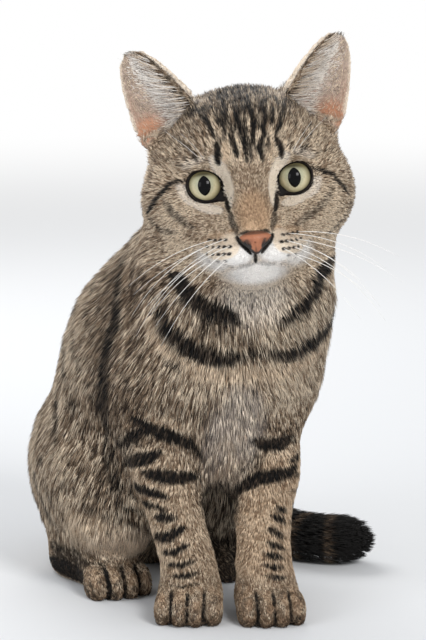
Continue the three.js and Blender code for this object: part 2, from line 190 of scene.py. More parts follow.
def ellipsoid(q, centre, radii):
    """Distance to an ellipsoid, nearly."""
    scaled = (q - np.array(centre)) / np.array(radii)
    near = length_of(scaled)
    slope = np.maximum(length_of(scaled / np.array(radii)), 1e-9)
    return near * (near - 1) / slope


def limb(q, a, b, radius_a, radius_b):
    """Distance to a tapered bar with round ends."""
    a, b = np.array(a, float), np.array(b, float)
    t = np.clip((q - a) @ (b - a) / ((b - a) @ (b - a)), 0, 1)
    return length_of(q - a - t[..., None] * (b - a)) - mix(radius_a, radius_b, t)


def of_muzzle(q):
    """Points of the head's frame as the muzzle's own."""
    return q + np.array([MUZZLE_ASIDE, 0, 0])


def both(shape):
    return [shape(side) for side in SIDES]


def skull(q):
    parts = [
        ellipsoid(q, [0, 40, 13], [49, 45, 40]),
        ellipsoid(q, [0, 12, 20], [31, 21, 22]),
        ellipsoid(q, [0, 16, -26], [37, 27, 24]),
        *both(lambda side: ellipsoid(q, [side * 33, 33, -8], [26, 29, 28])),
    ]
    return blend_all(parts, 14)


def muzzle(q):
    parts = [
        limb(q, [0, 1, 3], [0, -16, -25], 13, 8.5),
        *both(lambda side: ellipsoid(q, [side * 10.5, -11, -39], [14.5, 13.5, 10])),
        ellipsoid(q, [0, -7, -49], [13, 12, 8.5]),
        *both(lambda side: limb(q, [side * 8, 0, -44], [side * 28, 30, -34], 10, 16)),
    ]
    return blend_all(parts, 7)


def eyeball(q):
    return np.minimum(*both(lambda side: length_of(q - [side * EYE_APART / 2, EYE_BEHIND, 0]) - EYEBALL))


def face_shape(q):
    """Distance to the head's outer form, with the split of the lip, the mouth and the stop of the nose."""
    m = of_muzzle(q)
    d = blend(skull(q), muzzle(m), 12)
    for side in SIDES:
        d = carve(d, ellipsoid(q, [side * EYE_APART / 2, -5, 0], [12, 8.5, 11]), 8)
        d = blend(d, ellipsoid(q, [side * 27, 4, 13.5], [13, 7, 3.4]), 6)  # brow
        d = carve(d, limb(q, [side * 12.6, -9.5, -7], [side * 11, -17, -21], 1.2, 1.6), 5)
    d = carve(d, limb(m, [-0.8, -27, -37], [-0.9, -25.0, -42.0], 0.9, 0.9), 1.6)  # split of the lip
    for side in SIDES:  # mouth
        d = carve(d, limb(m, [-0.9, -25.0, -42.6], [side * 7, -24.2, -44.4], 0.8, 0.8), 2.0)
        d = carve(d, limb(m, [side * 7, -24.2, -44.4], [side * 19, -16, -43.0], 0.8, 0.5), 2.4)
    return d


def covered_face(q):
    return blend(face_shape(q), eyeball(q), 2)


def nose_shape(q):
    q = of_muzzle(q)
    top = ellipsoid(q, [0, -23.2, -29.4], [8.8, 5.2, 2.9])
    foot = ellipsoid(q, [-0.2, -24, -33.2], [3.5, 4.2, 4.8])
    d = blend(blend(top, foot, 3.6), ellipsoid(q, [0, -22, -30.6], [6.6, 5, 4.2]), 3)
    for side in SIDES:
        d = carve(d, ellipsoid(q, [side * 4.7, -28.6, -31.4], [2.2, 3.8, 1.6]), 0.9)
        d = carve(d, limb(q, [side * 6.0, -27.2, -31.2], [side * 8.6, -22.5, -29.6], 1.0, 0.8), 0.8)
    return carve(d, limb(q, [-0.1, -29.5, -29], [-0.5, -28.5, -40], 0.35, 0.6), 0.9)


def paw_shape(q):
    """Distance to a paw's form, in its own frame: a palm and four plump toes with thin clefts between."""
    palm = ellipsoid(q, [0, 5, 11], [17.6, 21, 14.0])
    toes = [
        ellipsoid(q, [n * TOE_APART, abs(n) * 3.4 - 13.0, 7.2], [5.2, 12.4, 10.6])
        for n in (-1.5, -0.5, 0.5, 1.5)
    ]
    d = blend(palm, blend_all(toes, 0.8), 4.0)
    for n in (-1, 0, 1):
        d = carve(d, limb(q, [n * TOE_APART, -28, 1], [n * TOE_APART * 0.93, -14, 16.5], 0.9, 0.4), 2.0)
    return d


EAR_HEIGHT, EAR_HALF = 51.0, 21.0
EAR_FOLDS = 16  # steps across an ear's curve when the distance to it is taken


def ear_frame(side):
    """An ear's foot in the head's frame, and the directions up it, across it outwards, and forwards."""
    up = unit(np.array([side * 0.45, 0.06, 0.89]))
    across = np.array([side * 0.8, 0.32, -0.5])
    across = unit(across - (across @ up) * up)
    front = np.cross(across, up) * side
    return np.array([side * 36, 36, 32.0]), up, across, front


def ear_half(rise):
    rise = np.clip(rise, 0, 1)
    return EAR_HALF * (0.3 * (1 - rise) + 0.7 * np.sqrt(1 - rise * rise))


def ear_curl(s, rise):
    """How far an ear's sheet stands in front of its middle plane."""
    rise = np.clip(rise, 0, 1)
    return 0.8 * ear_half(rise) * (1 - 0.4 * rise) * (s * s - 0.75)


def ear_share(side, q):
    """Where points stand on an ear: from inner edge, -1, to outer, 1; from foot, 0, to tip, 1; how proud."""
    foot, up, across, front = ear_frame(side)
    rise = (q - foot) @ up / EAR_HEIGHT
    s = (q - foot) @ across / np.maximum(ear_half(rise), 2)
    return s, rise, (q - foot) @ front - ear_curl(np.clip(s, -1.05, 1.05), rise)


def ear_place(side, s, rise, proud):
    """Points in front of an ear's middle sheet."""
    foot, up, across, front = ear_frame(side)
    parts = ((rise * EAR_HEIGHT, up), (s * ear_half(rise), across), (ear_curl(s, rise) + proud, front))
    return foot + sum(np.asarray(share)[..., None] * direction for share, direction in parts)


def ear_sheet(side):
    """Distance to an ear's middle sheet, less half its thickness."""
    foot, up, across, front = ear_frame(side)

    def distance(q):
        v = q - foot
        rise, x, y = v @ up / EAR_HEIGHT, v @ across, v @ front
        half = ear_half(rise)
        best = np.full(len(q), np.inf)
        folds = np.linspace(-1, 1, EAR_FOLDS + 1)
        for a, b in zip(folds[:-1], folds[1:]):
            ax, ay, bx, by = a * half, ear_curl(a, rise), b * half, ear_curl(b, rise)
            run = np.maximum((bx - ax) ** 2 + (by - ay) ** 2, 1e-6)
            t = np.clip(((x - ax) * (bx - ax) + (y - ay) * (by - ay)) / run, 0, 1)
            best = np.minimum(best, np.hypot(x - mix(ax, bx, t), y - mix(ay, by, t)))
        return np.hypot(best, np.maximum(rise - 1, 0) * EAR_HEIGHT) - mix(1.5, 0.8, step(0.1, 0.9, rise))

    return distance


def settled(q, shape, level, rounds=5, reach=6.0):
    """Points moved, no further than `reach`, onto the place where a shape's distance has the given level."""
    start, h = q.copy(), 0.05
    for _ in range(rounds):
        here = shape(q) - level
        slope = np.stack([(shape(q + h * axis) - shape(q - h * axis)) / (2 * h) for axis in np.eye(3)], -1)
        q = q - slope * (here / np.maximum((slope * slope).sum(-1), 0.2))[..., None]
    moved = q - start
    far = np.maximum(length_of(moved) / reach, 1)
    return start + moved / far[..., None]


BEFORE_FACE = -60.0  # in front of all of the head
STEPS_TO_SHAPE = 60


def front_of(shape, x, z):
    """The first point of a shape met from in front, at x and z in the head's frame."""
    q = np.stack([x, np.full_like(x, BEFORE_FACE), z], -1)
    for _ in range(STEPS_TO_SHAPE):
        q[..., 1] += np.clip(shape(q), -1, 8) * 0.8
    return q


# Making meshes


def alone(obj):
    bpy.ops.object.select_all(action="DESELECT")
    obj.select_set(True)
    bpy.context.view_layer.objects.active = obj


def join(first, others):
    alone(first)
    for other in others:
        other.select_set(True)
    bpy.ops.object.join()


def apply(obj, kind, **settings):
    alone(obj)
    modifier = obj.modifiers.new(kind.title(), kind)
    for key, value in settings.items():
        setattr(modifier, key, value)
    bpy.ops.object.modifier_apply(modifier=modifier.name)


def edit(obj, work):
    alone(obj)
    bpy.ops.object.mode_set(mode="EDIT")
    work()
    bpy.ops.object.mode_set(mode="OBJECT")


def taken(items, field, width=1, kind=np.float32):
    """One value, or one row of values, for each of a mesh's items."""
    values = np.empty(len(items) * width, kind)
    items.foreach_get(field, values)
    return values if width == 1 else values.reshape(-1, width)


def points_of(obj):
    return taken(obj.data.vertices, "co", 3).astype(float) / MM


def put_points(obj, points):
    obj.data.vertices.foreach_set("co", (points * MM).astype(np.float32).ravel())
    obj.data.update()


def normals_of(obj):
    return taken(obj.data.vertex_normals, "vector", 3).astype(float)


def corners_of(obj):
    """The point that each corner of a mesh's faces is at."""
    return taken(obj.data.loops, "vertex_index", kind=np.int32)


def mesh_object(name, points, faces):
    """A new object from rows of points in millimetres and faces that all have as many corners."""
    corners = faces.shape[1]
    mesh = bpy.data.meshes.new(name)
    mesh.vertices.add(len(points))
    mesh.vertices.foreach_set("co", (points * MM).astype(np.float32).ravel())
    mesh.loops.add(faces.size)
    mesh.loops.foreach_set("vertex_index", faces.astype(np.int32).ravel())
    mesh.polygons.add(len(faces))
    mesh.polygons.foreach_set("loop_start", np.arange(0, faces.size, corners, dtype=np.int32))
    mesh.update(calc_edges=True)
    obj = bpy.data.objects.new(name, mesh)
    bpy.context.scene.collection.objects.link(obj)
    return obj


def smooth(obj):
    obj.data.polygons.foreach_set("use_smooth", np.ones(len(obj.data.polygons), bool))
    obj.data.update()


def finish_with(obj, material):
    obj.data.materials.clear()
    obj.data.materials.append(material)


def set_attribute(obj, name, kind, values):
    layer = obj.data.attributes.new(name, kind, "POINT")
    field = {"FLOAT": "value", "FLOAT_VECTOR": "vector", "FLOAT_COLOR": "color"}[kind]
    layer.data.foreach_set(field, np.asarray(values, np.float32).ravel())


def set_bake_map(obj, uv):
    """Gives a piece its UV map for baking, from a place for each of its points."""
    layer = obj.data.uv_layers.new(name="OFBake")
    layer.data.foreach_set("uv", uv[corners_of(obj)].astype(np.float32).ravel())


def tree_of(places):
    tree = KDTree(len(places))
    for index, place in enumerate(places):
        tree.insert(place, index)
    tree.balance()
    return tree


def nearest_in(tree, places):
    return np.array([tree.find(place)[1] for place in places])


def copy_of(name):
    """A merged copy of one of the solids."""
    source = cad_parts[name]
    copy = bpy.data.objects.new("copy", source.data.copy())
    bpy.context.scene.collection.objects.link(copy)
    copy.data.materials.clear()

    def merge():
        bpy.ops.mesh.select_all(action="SELECT")
        bpy.ops.mesh.remove_doubles(threshold=0.00001)

    edit(copy, merge)
    return copy


# The skin: all the flesh, in one

SKIN_VOXEL = 0.0023
TAIL_DOME = 20.0  # the length over which the tail rounds off
FLOOR_GAP = 0.12  # nothing comes nearer to the floor
OVERLAP = 0.0005  # each solid grows by this before they are joined, so that no cut is left


def joined_flesh():
    copies = []
    for name in [*FLESH, "eye_right", "eye_left"]:
        copy = copy_of(name)
        apply(copy, "DISPLACE", strength=OVERLAP, mid_level=0.0)
        copies.append(copy)
    join(copies[0], copies)
    joined = bpy.context.view_layer.objects.active
    apply(joined, "REMESH", mode="VOXEL", voxel_size=SKIN_VOXEL)
    edit(joined, lambda: bpy.ops.mesh.separate(type="LOOSE"))
    parts = sorted(bpy.context.selected_objects, key=lambda part: len(part.data.vertices))
    for crumb in parts[:-1]:
        bpy.data.objects.remove(crumb)
    whole = parts[-1]
    whole.name = whole.data.name = "skin"
    apply(whole, "SMOOTH", factor=0.5, iterations=5)
    return whole


def subdivide_where(obj, chosen):
    """Halves the faces whose middle is where `chosen` says."""
    mesh = obj.data
    marked = chosen(taken(mesh.polygons, "center", 3).astype(float) / MM)
    edit(obj, lambda: bpy.ops.mesh.select_all(action="DESELECT"))
    on = np.repeat(marked, taken(mesh.polygons, "loop_total", kind=np.int32))
    for items, field in ((mesh.vertices, "vertex_index"), (mesh.edges, "edge_index")):
        selected = np.zeros(len(items), bool)
        selected[taken(mesh.loops, field, kind=np.int32)[on]] = True
        items.foreach_set("select", selected)
    mesh.polygons.foreach_set("select", marked)

    def halve():
        bpy.ops.mesh.select_mode(type="FACE")
        bpy.ops.mesh.subdivide(number_cuts=1)

    edit(obj, halve)


class Web:
    """Which points of a mesh are neighbours, for values that spread over it."""

    def __init__(self, obj):
        a, b = taken(obj.data.edges, "vertices", 2, np.int32).T
        self.here, self.there = np.concatenate([a, b]), np.concatenate([b, a])
        self.size = len(obj.data.vertices)
        self.share = 1 / np.maximum(np.bincount(self.here, minlength=self.size), 1)

    def around(self, column):
        return np.bincount(self.here, column[self.there], self.size) * self.share

    def spread(self, values, rounds):
        """Each point's values go half-way to the mean of its neighbours', so many times."""
        columns = values.reshape(self.size, -1)
        for _ in range(rounds):
            columns = 0.5 * columns + 0.5 * np.stack([self.around(column) for column in columns.T], -1)
        return columns.reshape(values.shape)


def on_front_of_face(p):
    return inside(head.inward(p), (-46, -FAR, -58), (46, 22, 30))


def on_muzzle(p):
    return inside(head.inward(p), (-28, -FAR, -58), (28, -4, -22))


def on_toes(p):
    within = [inside(place.inward(p), (-23, -30, -FAR), (23, 6, 26)) for place in paw_places.values()]
    return np.any(within, axis=0)


def on_clefts(p):
    near = np.zeros(len(p), bool)
    for place in paw_places.values():
        for n in (-1, 0, 1):
            q = place.inward(p) - [n * TOE_APART, 0, 0]
            near |= inside(q, (-2, -30, 2), (2, -4, 20))
    return near


def on_ears(p):
    near = np.zeros(len(p), bool)
    for side in SIDES:
        s, rise, proud = ear_share(side, head.inward(p))
        near |= (rise > 0.02) & (np.abs(s) < 1.6) & (np.abs(proud) < 9)
    return near


skin = joined_flesh()
for part in (on_front_of_face, on_muzzle, on_toes, on_clefts, on_ears):
    subdivide_where(skin, part)
web = Web(skin)
points = points_of(skin)
q = head.inward(points)
flesh_points = [points_of(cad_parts[name]) for name in FLESH]
flesh_index = np.repeat(np.arange(len(FLESH)), [len(rows) for rows in flesh_points])
nearest = flesh_index[nearest_in(tree_of(np.concatenate(flesh_points)), points)]
on_node = {name: nearest == i for i, name in enumerate(FLESH)}


def on_any(*names):
    return np.logical_or.reduce([on_node[name] for name in names])


# Length, width, depth and number of tufts for each part of the body: mm, mm, mm, and tufts per mm2
COAT = {
    "head": (8, 0.5, 3.2, 1.76),
    "jaw": (4, 0.42, 1.6, 2.4),
    "nose": (2, 0.4, 0.8, 0.5),
    "neck": (13, 0.56, 5.5, 1.22),
    "trunk": (11.5, 0.56, 4.8, 1.12),
    "thigh": (11, 0.56, 4.6, 1.16),
    "front_leg": (5.4, 0.45, 2.0, 1.6),
    "front_paw": (2.6, 0.36, 0.7, 2.1),
    "hind_foot": (3.4, 0.4, 0.9, 1.7),
    "ear": (3.4, 0.3, 0.7, 2.2),
    "tail": (12, 0.66, 5.0, 1.22),
}
EAR_RIM_COAT = np.array([2.3, 0.28, 0.35, 3.4])
LENGTH, WIDTH, DEPTH, NUMBER = range(4)


def coat_of(name):
    return next(row for key, row in COAT.items() if name.startswith(key))


def coat_at_skin():
    """The coat's length, width, depth and number of tufts at each point of the skin."""
    coat = np.array([coat_of(name) for name in FLESH], float)[nearest]
    face = on_any("head", "jaw", "nose")
    from_nose = length_of(q - NOSE_MIDDLE)[face]
    coat[face, LENGTH] = np.interp(from_nose, [8, 20, 35, 55, 75, 95], [1.5, 2.0, 2.7, 3.9, 6.2, 10])
    coat[face, WIDTH] = np.interp(from_nose, [8, 35, 60, 90], [0.26, 0.32, 0.38, 0.54])
    coat[face, DEPTH] = np.interp(from_nose, [8, 25, 45, 70, 95], [0.6, 0.9, 1.5, 2.7, 4.8])
    coat[face, NUMBER] = np.interp(from_nose, [8, 40, 60, 90], [4.3, 3.22, 2.73, 1.42])
    coat = web.spread(coat, 14)
    for side in SIDES:  # longer fur at an ear's foot, short fur along its rim
        s, rise, proud = ear_share(side, q)
        aside, off = np.abs(s), np.abs(proud)
        foot = step(0.22, 0.02, rise) * step(-0.35, -0.1, rise) * step(1.7, 1.1, aside) * (off < 14)
        coat[:, LENGTH] = np.maximum(coat[:, LENGTH], 7.5 * foot)
        coat[:, NUMBER] = np.maximum(coat[:, NUMBER], 3.2 * foot)
        rim = step(0.7, 0.88, aside) * step(1.4, 1.2, aside) * step(0.12, 0.25, rise) * (off < 5)
        coat = mix(coat, EAR_RIM_COAT, rim[:, None])
    return coat.T


skin_length, skin_width, skin_depth, skin_number = coat_at_skin()

# The head, paws and ears settle onto their own forms; the rest sinks in by the depth of the coat


def settle_head(sunk):
    about = on_any("head", "jaw", "nose").astype(float)
    about[(q[:, 1] > 60) | (q[:, 2] < -62)] = 0
    ears_near = np.min([length_of(q - np.array([side * 37, 38, 38])) for side in SIDES], axis=0)
    about *= step(20, 34, ears_near)
    about *= step(70, 40, q[:, 1]) * step(-66, -50, q[:, 2])
    about = web.spread(about, 6)
    on = about > 0.01
    target = head.outward(settled(q[on], covered_face, -skin_depth[on] * 0.9))
    sunk[on] = mix(sunk[on], target, about[on][:, None])


def settle_paws(sunk):
    for name, place in paw_places.items():
        paw_q = place.inward(points)
        on = inside(paw_q, (-23, -30, -FAR), (23, 8, 26)) & on_node[name]
        share = (step(8, -2, paw_q[:, 1]) * step(26, 18, paw_q[:, 2]))[on]
        target = place.outward(settled(paw_q[on], paw_shape, -skin_depth[on] * 0.6, reach=4.0))
        sunk[on] = mix(sunk[on], target, share[:, None])


def settle_ear(sunk, faced, side):
    """Points near an ear's edges go out to its rim, and all of them onto its thin sheet."""
    sunk_q = head.inward(sunk)
    s, rise, _ = ear_share(side, sunk_q)
    on = on_node["ear_" + SIDE_NAME[side]] & (rise > 0.04)
    _, _, across, front = ear_frame(side)
    slope = 1.6 * (1 - 0.4 * rise) * np.clip(s, -1, 1)
    along = unit(across + slope[:, None] * front)
    outward = (faced @ head.turned * along).sum(-1) * np.sign(s)
    edge = step(0.3, 0.7, outward) * step(0.5, 0.75, np.abs(s)) * on
    edge *= step(0.97, 0.9, rise) * step(0.08, 0.2, rise)
    sunk_q = mix(sunk_q, ear_place(side, 0.965 * np.sign(s), rise, 0.0), edge[:, None])
    sunk[:] = mix(sunk, head.outward(sunk_q), on[:, None])
    target = head.outward(settled(sunk_q[on], ear_sheet(side), 0.0, rounds=7))
    sunk[on] = mix(sunk[on], target, step(0.04, 0.22, rise[on])[:, None])


tail_ahead = unit(TAIL_LINE[-1] - TAIL_LINE[-2])


def round_tail(sunk):
    """Rounds the tail's end off, and gives the place of its tip."""
    on = on_node["tail_tip"]
    end = TAIL_LINE[-1] + shift
    end = end + tail_ahead * ((sunk[on] - end) @ tail_ahead).max()
    back = np.clip((end - sunk) @ tail_ahead, 0, TAIL_DOME)
    on = on & (back < TAIL_DOME)
    axis = end - back[:, None] * tail_ahead
    round_off = np.sqrt(1 - (1 - back / TAIL_DOME) ** 2).clip(0.3, 1)
    sunk[on] = mix(axis, sunk, round_off[:, None])[on]
    return end


def shape_skin():
    faced = normals_of(skin)
    sunk = points - faced * skin_depth[:, None]
    settle_head(sunk)
    settle_paws(sunk)
    for side in SIDES:
        settle_ear(sunk, faced, side)
    end = round_tail(sunk)
    sunk[:, 2] = np.maximum(sunk[:, 2], FLOOR_GAP)
    put_points(skin, sunk)
    apply(skin, "SMOOTH", factor=0.4, iterations=2)
    smooth(skin)
    return end


def unwrap():
    bpy.ops.mesh.select_all(action="SELECT")
    bpy.ops.uv.smart_project(angle_limit=math.radians(66), island_margin=0.002)


tail_end = shape_skin()
points, normals = points_of(skin), normals_of(skin)
q = head.inward(points)
edit(skin, unwrap)
skin.data.uv_layers[0].name = "skin_map"


# The lie of the coat: which way it is combed at each point of the skin

TAIL_STEPS = 120  # points along the tail's line that its coat is combed by
COMBINGS = 12  # how often the whole lie is evened out


def comb_head():
    combed = unit(q - np.array([0, -21, -27]))
    low = step(6, -4, q[:, 2]) * step(9, 20, np.abs(q[:, 0]))
    combed[:, 2] = combed[:, 2] * mix(1, 0.1, low) - 0.30 * low
    combed[:, 1] += 0.25
    back = step(25, 60, q[:, 1])[:, None]
    combed = combed * (1 - back) + back * np.array([0, 0.55, -0.9])
    for side in SIDES:  # round an eye the coat parts, so that nothing lies over it
        out = q - np.array([side * EYE_APART / 2, 0, 0])
        out[:, 1] = 0
        ring = unit(out)
        inward = np.maximum(-(combed * ring).sum(-1), 0) * step(19, 11, length_of(out)) * (q[:, 1] < 20)
        combed = combed + ring * (1.35 * inward)[:, None]
    return head.aim(combed)


def comb_body(lie):
    x, y, _ = (points - shift).T
    none = np.zeros(len(points))
    fan = (x - 14) / 60
    front = step(-35, -70, y)

    def comb(name, *direction):
        lie[on_node[name]] = np.stack([none + part for part in direction], -1)[on_node[name]]

    comb("neck", fan * 0.8, 0.15, -1)
    comb("trunk", -0.22 + front * (0.22 + fan * 0.85), 0.45 * (1 - front), -0.9)
    for side, leg_x in ((RIGHT, -12), (LEFT, 36)):
        lie[on_node["thigh_" + SIDE_NAME[side]]] = hips.aim([side * 0.1, 0.15, -1])
        comb("front_leg_" + SIDE_NAME[side], (x - leg_x) / 16 * 0.35, 0, -1)


def comb_paws(lie):
    for name, place in paw_places.items():
        on = on_node[name]
        steep = step(14, 32, points[on][:, 2])[:, None]
        lie[on] = place.aim([0, -1, -0.35]) * (1 - steep) + steep * np.array([0, -0.25, -1])


def comb_tail(lie):
    knots = np.arange(len(TAIL_LINE))
    fine = np.linspace(0, knots[-1], TAIL_STEPS)
    course = np.stack([np.interp(fine, knots, column) for column in (TAIL_LINE + shift).T], -1)
    on = on_any(*TAIL)
    near = np.argmin(((points[on][:, None] - course[None]) ** 2).sum(-1), axis=1)
    near = np.clip(near, 1, len(course) - 2)
    lie[on] = course[near + 1] - course[near - 1]


def comb_ears(lie):
    for side in SIDES:
        across = ear_frame(side)[2]
        s, rise, proud = ear_share(side, q)
        sideways = 0.85 * step(-0.9, -0.2, s) * step(0.9, 0.3, s) * (proud > 0)
        s, rise = np.clip(s, -1, 1), np.clip(rise, 0, 0.92)
        upward = unit(ear_place(side, s, rise + 0.05, 0.0) - ear_place(side, s, rise, 0.0))
        on = on_node["ear_" + SIDE_NAME[side]]
        lie[on] = head.aim(upward + sideways[:, None] * across)[on]


def lie_of_coat():
    lie = comb_head()
    for comb in (comb_body, comb_paws, comb_tail, comb_ears):
        comb(lie)
    lie = flat_on(lie, normals)
    for _ in range(COMBINGS):
        lie = flat_on(web.spread(lie, 3), normals)
    return lie


lie = lie_of_coat()


# The markings

# Strokes on the face: half width in mm, strength, and points (x, z) in the head's frame
FACE_STROKES = [
    (2.0, 1.0, [(-16.6, 22.5), (-16.8, 16), (-16.7, 9.8)]),
    (1.9, 1.0, [(15.0, 23), (17.4, 17), (17.9, 10.5)]),
    (1.7, 0.8, [(-24, 42), (-20, 33), (-16.8, 24)]),
    (1.7, 0.8, [(24, 42), (19.5, 32), (15.6, 24)]),
    (2.5, 1.0, [(-9.5, 53), (-10.4, 41), (-10.6, 35.6), (-12.1, 30.5), (-11.5, 26.5)]),
    (1.7, 0.9, [(-9.4, 27), (-7.4, 20), (-6.4, 14)]),
    (1.9, 0.9, [(-5.2, 53), (-4.2, 38.5), (-4.0, 31.5), (-2.0, 26), (-1.8, 18.9), (-1.6, 11)]),
    (2.0, 0.95, [(2.0, 53), (3.0, 40), (4.5, 32.5), (3.2, 25.5), (2.6, 19)]),
    (2.6, 1.0, [(10.5, 53), (10.7, 41), (11.2, 34.7), (9.0, 28.5), (9.5, 23.5)]),
    (1.7, 0.9, [(8.6, 24), (5.8, 17.5), (7.3, 10.5)]),
    (1.4, 0.8, [(-14.6, 42), (-15.0, 36), (-14.0, 31)]),
    (1.4, 0.8, [(15.6, 41), (15.4, 35), (13.4, 29)]),
    (1.2, 0.7, [(0.4, 24), (1.0, 17), (0.4, 10)]),
    (1.2, 0.7, [(-0.6, 46), (0.2, 38), (0.4, 32)]),
    (1.6, 0.6, [(-27, 13), (-31, 20), (-36, 26)]),
    (1.6, 0.6, [(27, 12), (32, 18), (37, 24)]),
    (1.5, 0.5, [(-34, 11), (-41, 15), (-47, 17)]),
    (1.5, 0.5, [(34, 10), (41, 13), (48, 14)]),
    (1.7, 0.86, [(-34.6, 4.1), (-42.7, 3.1), (-47.5, -1.0), (-53.5, -7.7), (-57.0, -13)]),
    (1.5, 0.86, [(33.8, 5.0), (39.1, 2.7), (44.6, 0.4), (49.8, -5.5), (53.8, -12)]),
    (2.6, 0.56, [(-47.1, -5.5), (-43.3, -13.0), (-36, -19.9), (-32.7, -22)]),
    (2.4, 0.5, [(44.2, -6.8), (40.3, -14.5), (30.2, -20.6), (22.2, -25.1)]),
    (2.4, 0.5, [(-57, -13), (-51, -21.7), (-41.5, -24)]),
    (2.4, 0.5, [(56, -15), (50, -26), (40, -33)]),
    (1.8, 1.0, [(-15.4, -5.5), (-14.2, -11), (-12.9, -15)]),
    (1.7, 1.0, [(14.4, -6.5), (12.9, -12.6), (11.2, -16.5)]),
    (2.4, 0.64, [(-13.2, -14), (-12.3, -20.9), (-10.9, -27.0)]),
    (2.2, 0.58, [(11.5, -15.5), (10.3, -21), (8.6, -26.6)]),
    (1.0, 0.7, [(-10, -27.0), (-6.5, -25.9), (-0.8, -26.4), (4.9, -26.0), (7.3, -27.2)]),
    (1.2, 0.95, [(-11.6, -27.6), (-8.8, -31.7), (-4.4, -37.4)]),
    (1.2, 0.95, [(9.0, -27.8), (6.2, -31.6), (1.2, -37.4)]),
    (0.9, 0.85, [(-2.1, -37.4), (-2.3, -42.8)]),
    (1.3, 0.38, [(-2.3, -42.8), (-7.2, -44.0), (-12.6, -43.8), (-19.4, -41.9)]),
    (1.3, 0.38, [(-2.3, -42.8), (4.2, -44.2), (10.4, -43.6), (19.7, -42.0)]),
]
# Rows of whisker roots on a pad, from the muzzle's own middle: height, first, last and how many
WHISKER_ROWS = [
    (-29.0, 15.5, 24.0, 4),
    (-32.6, 13.8, 25.5, 5),
    (-36.4, 14.6, 26.0, 5),
    (-40.2, 17.0, 25.0, 3),
]
# Patches on the face: kind, middle (x, z), half sizes, strength
FACE_PATCHES = [
    ("pale", (-2, -48.2), (18.5, 7.2), 0.9),
    ("pale", (-12, -37.5), (11, 7.5), 1.0),
    ("pale", (9.0, -37.5), (11, 7.5), 1.0),
    ("pale", (-22, -38), (11, 9), 0.8),
    ("pale", (20, -38.5), (11, 9), 0.8),
    ("pale", (-13.5, -30), (6.5, 4.5), 0.75),
    ("pale", (11.5, -30), (6.5, 4.5), 0.75),
    ("warm", (-1, -17), (11, 15), 0.8),
    ("warm", (-20, -32), (11, 8), 0.6),
    ("warm", (18, -32), (11, 8), 0.6),
    ("warm", (-12.5, -27), (4, 4), 0.7),
    ("warm", (11, -27), (4, 4), 0.7),
    ("light", (-42, -14), (10, 7), 0.5),
    ("light", (42, -13), (10, 7), 0.5),
    ("light", (-47, -27), (10, 9), 0.75),
    ("light", (44, -28), (13, 9), 0.4),
    ("light", (29, 16), (11, 5), 0.35),
    ("light", (-12.2, 17.0), (3.4, 7), 0.9),
    ("light", (11.3, 17.0), (3.4, 7), 0.9),
    ("warm", (-12.2, 17.0), (3.0, 7), 0.35),
    ("warm", (11.3, 17.0), (3.0, 7), 0.35),
]
# Cream bands round the eyes: half width, strength and points
EYE_BANDS = [
    (4.9, 1.0, [(-19.0, 12.6), (-14.6, 6.8), (-12.2, 0.4), (-11.6, -5.6), (-12.0, -10.0)]),
    (4.9, 1.0, [(19.6, 11.4), (14.9, 6.6), (12.2, 0.0), (11.2, -6.0), (11.2, -11.0)]),
    (2.5, 0.75, [(-38.0, 1.6), (-34.6, -4.8), (-30.0, -9.4)]),
    (2.5, 0.78, [(-31.0, -8.6), (-25.4, -11.2), (-19.6, -13.0), (-17.4, -13.8)]),
    (2.6, 0.88, [(17.0, -12.9), (22.4, -11.6), (28.6, -9.6)]),
    (2.5, 0.75, [(28.0, -10.4), (33.7, -6.6), (37.4, -1.0)]),
    (3.0, 0.22, [(-36, 9.4), (-30.5, 13.0), (-24.2, 14.4)]),
    (3.0, 0.22, [(24, 14.8), (30.5, 13.0), (35.4, 9.0)]),
]

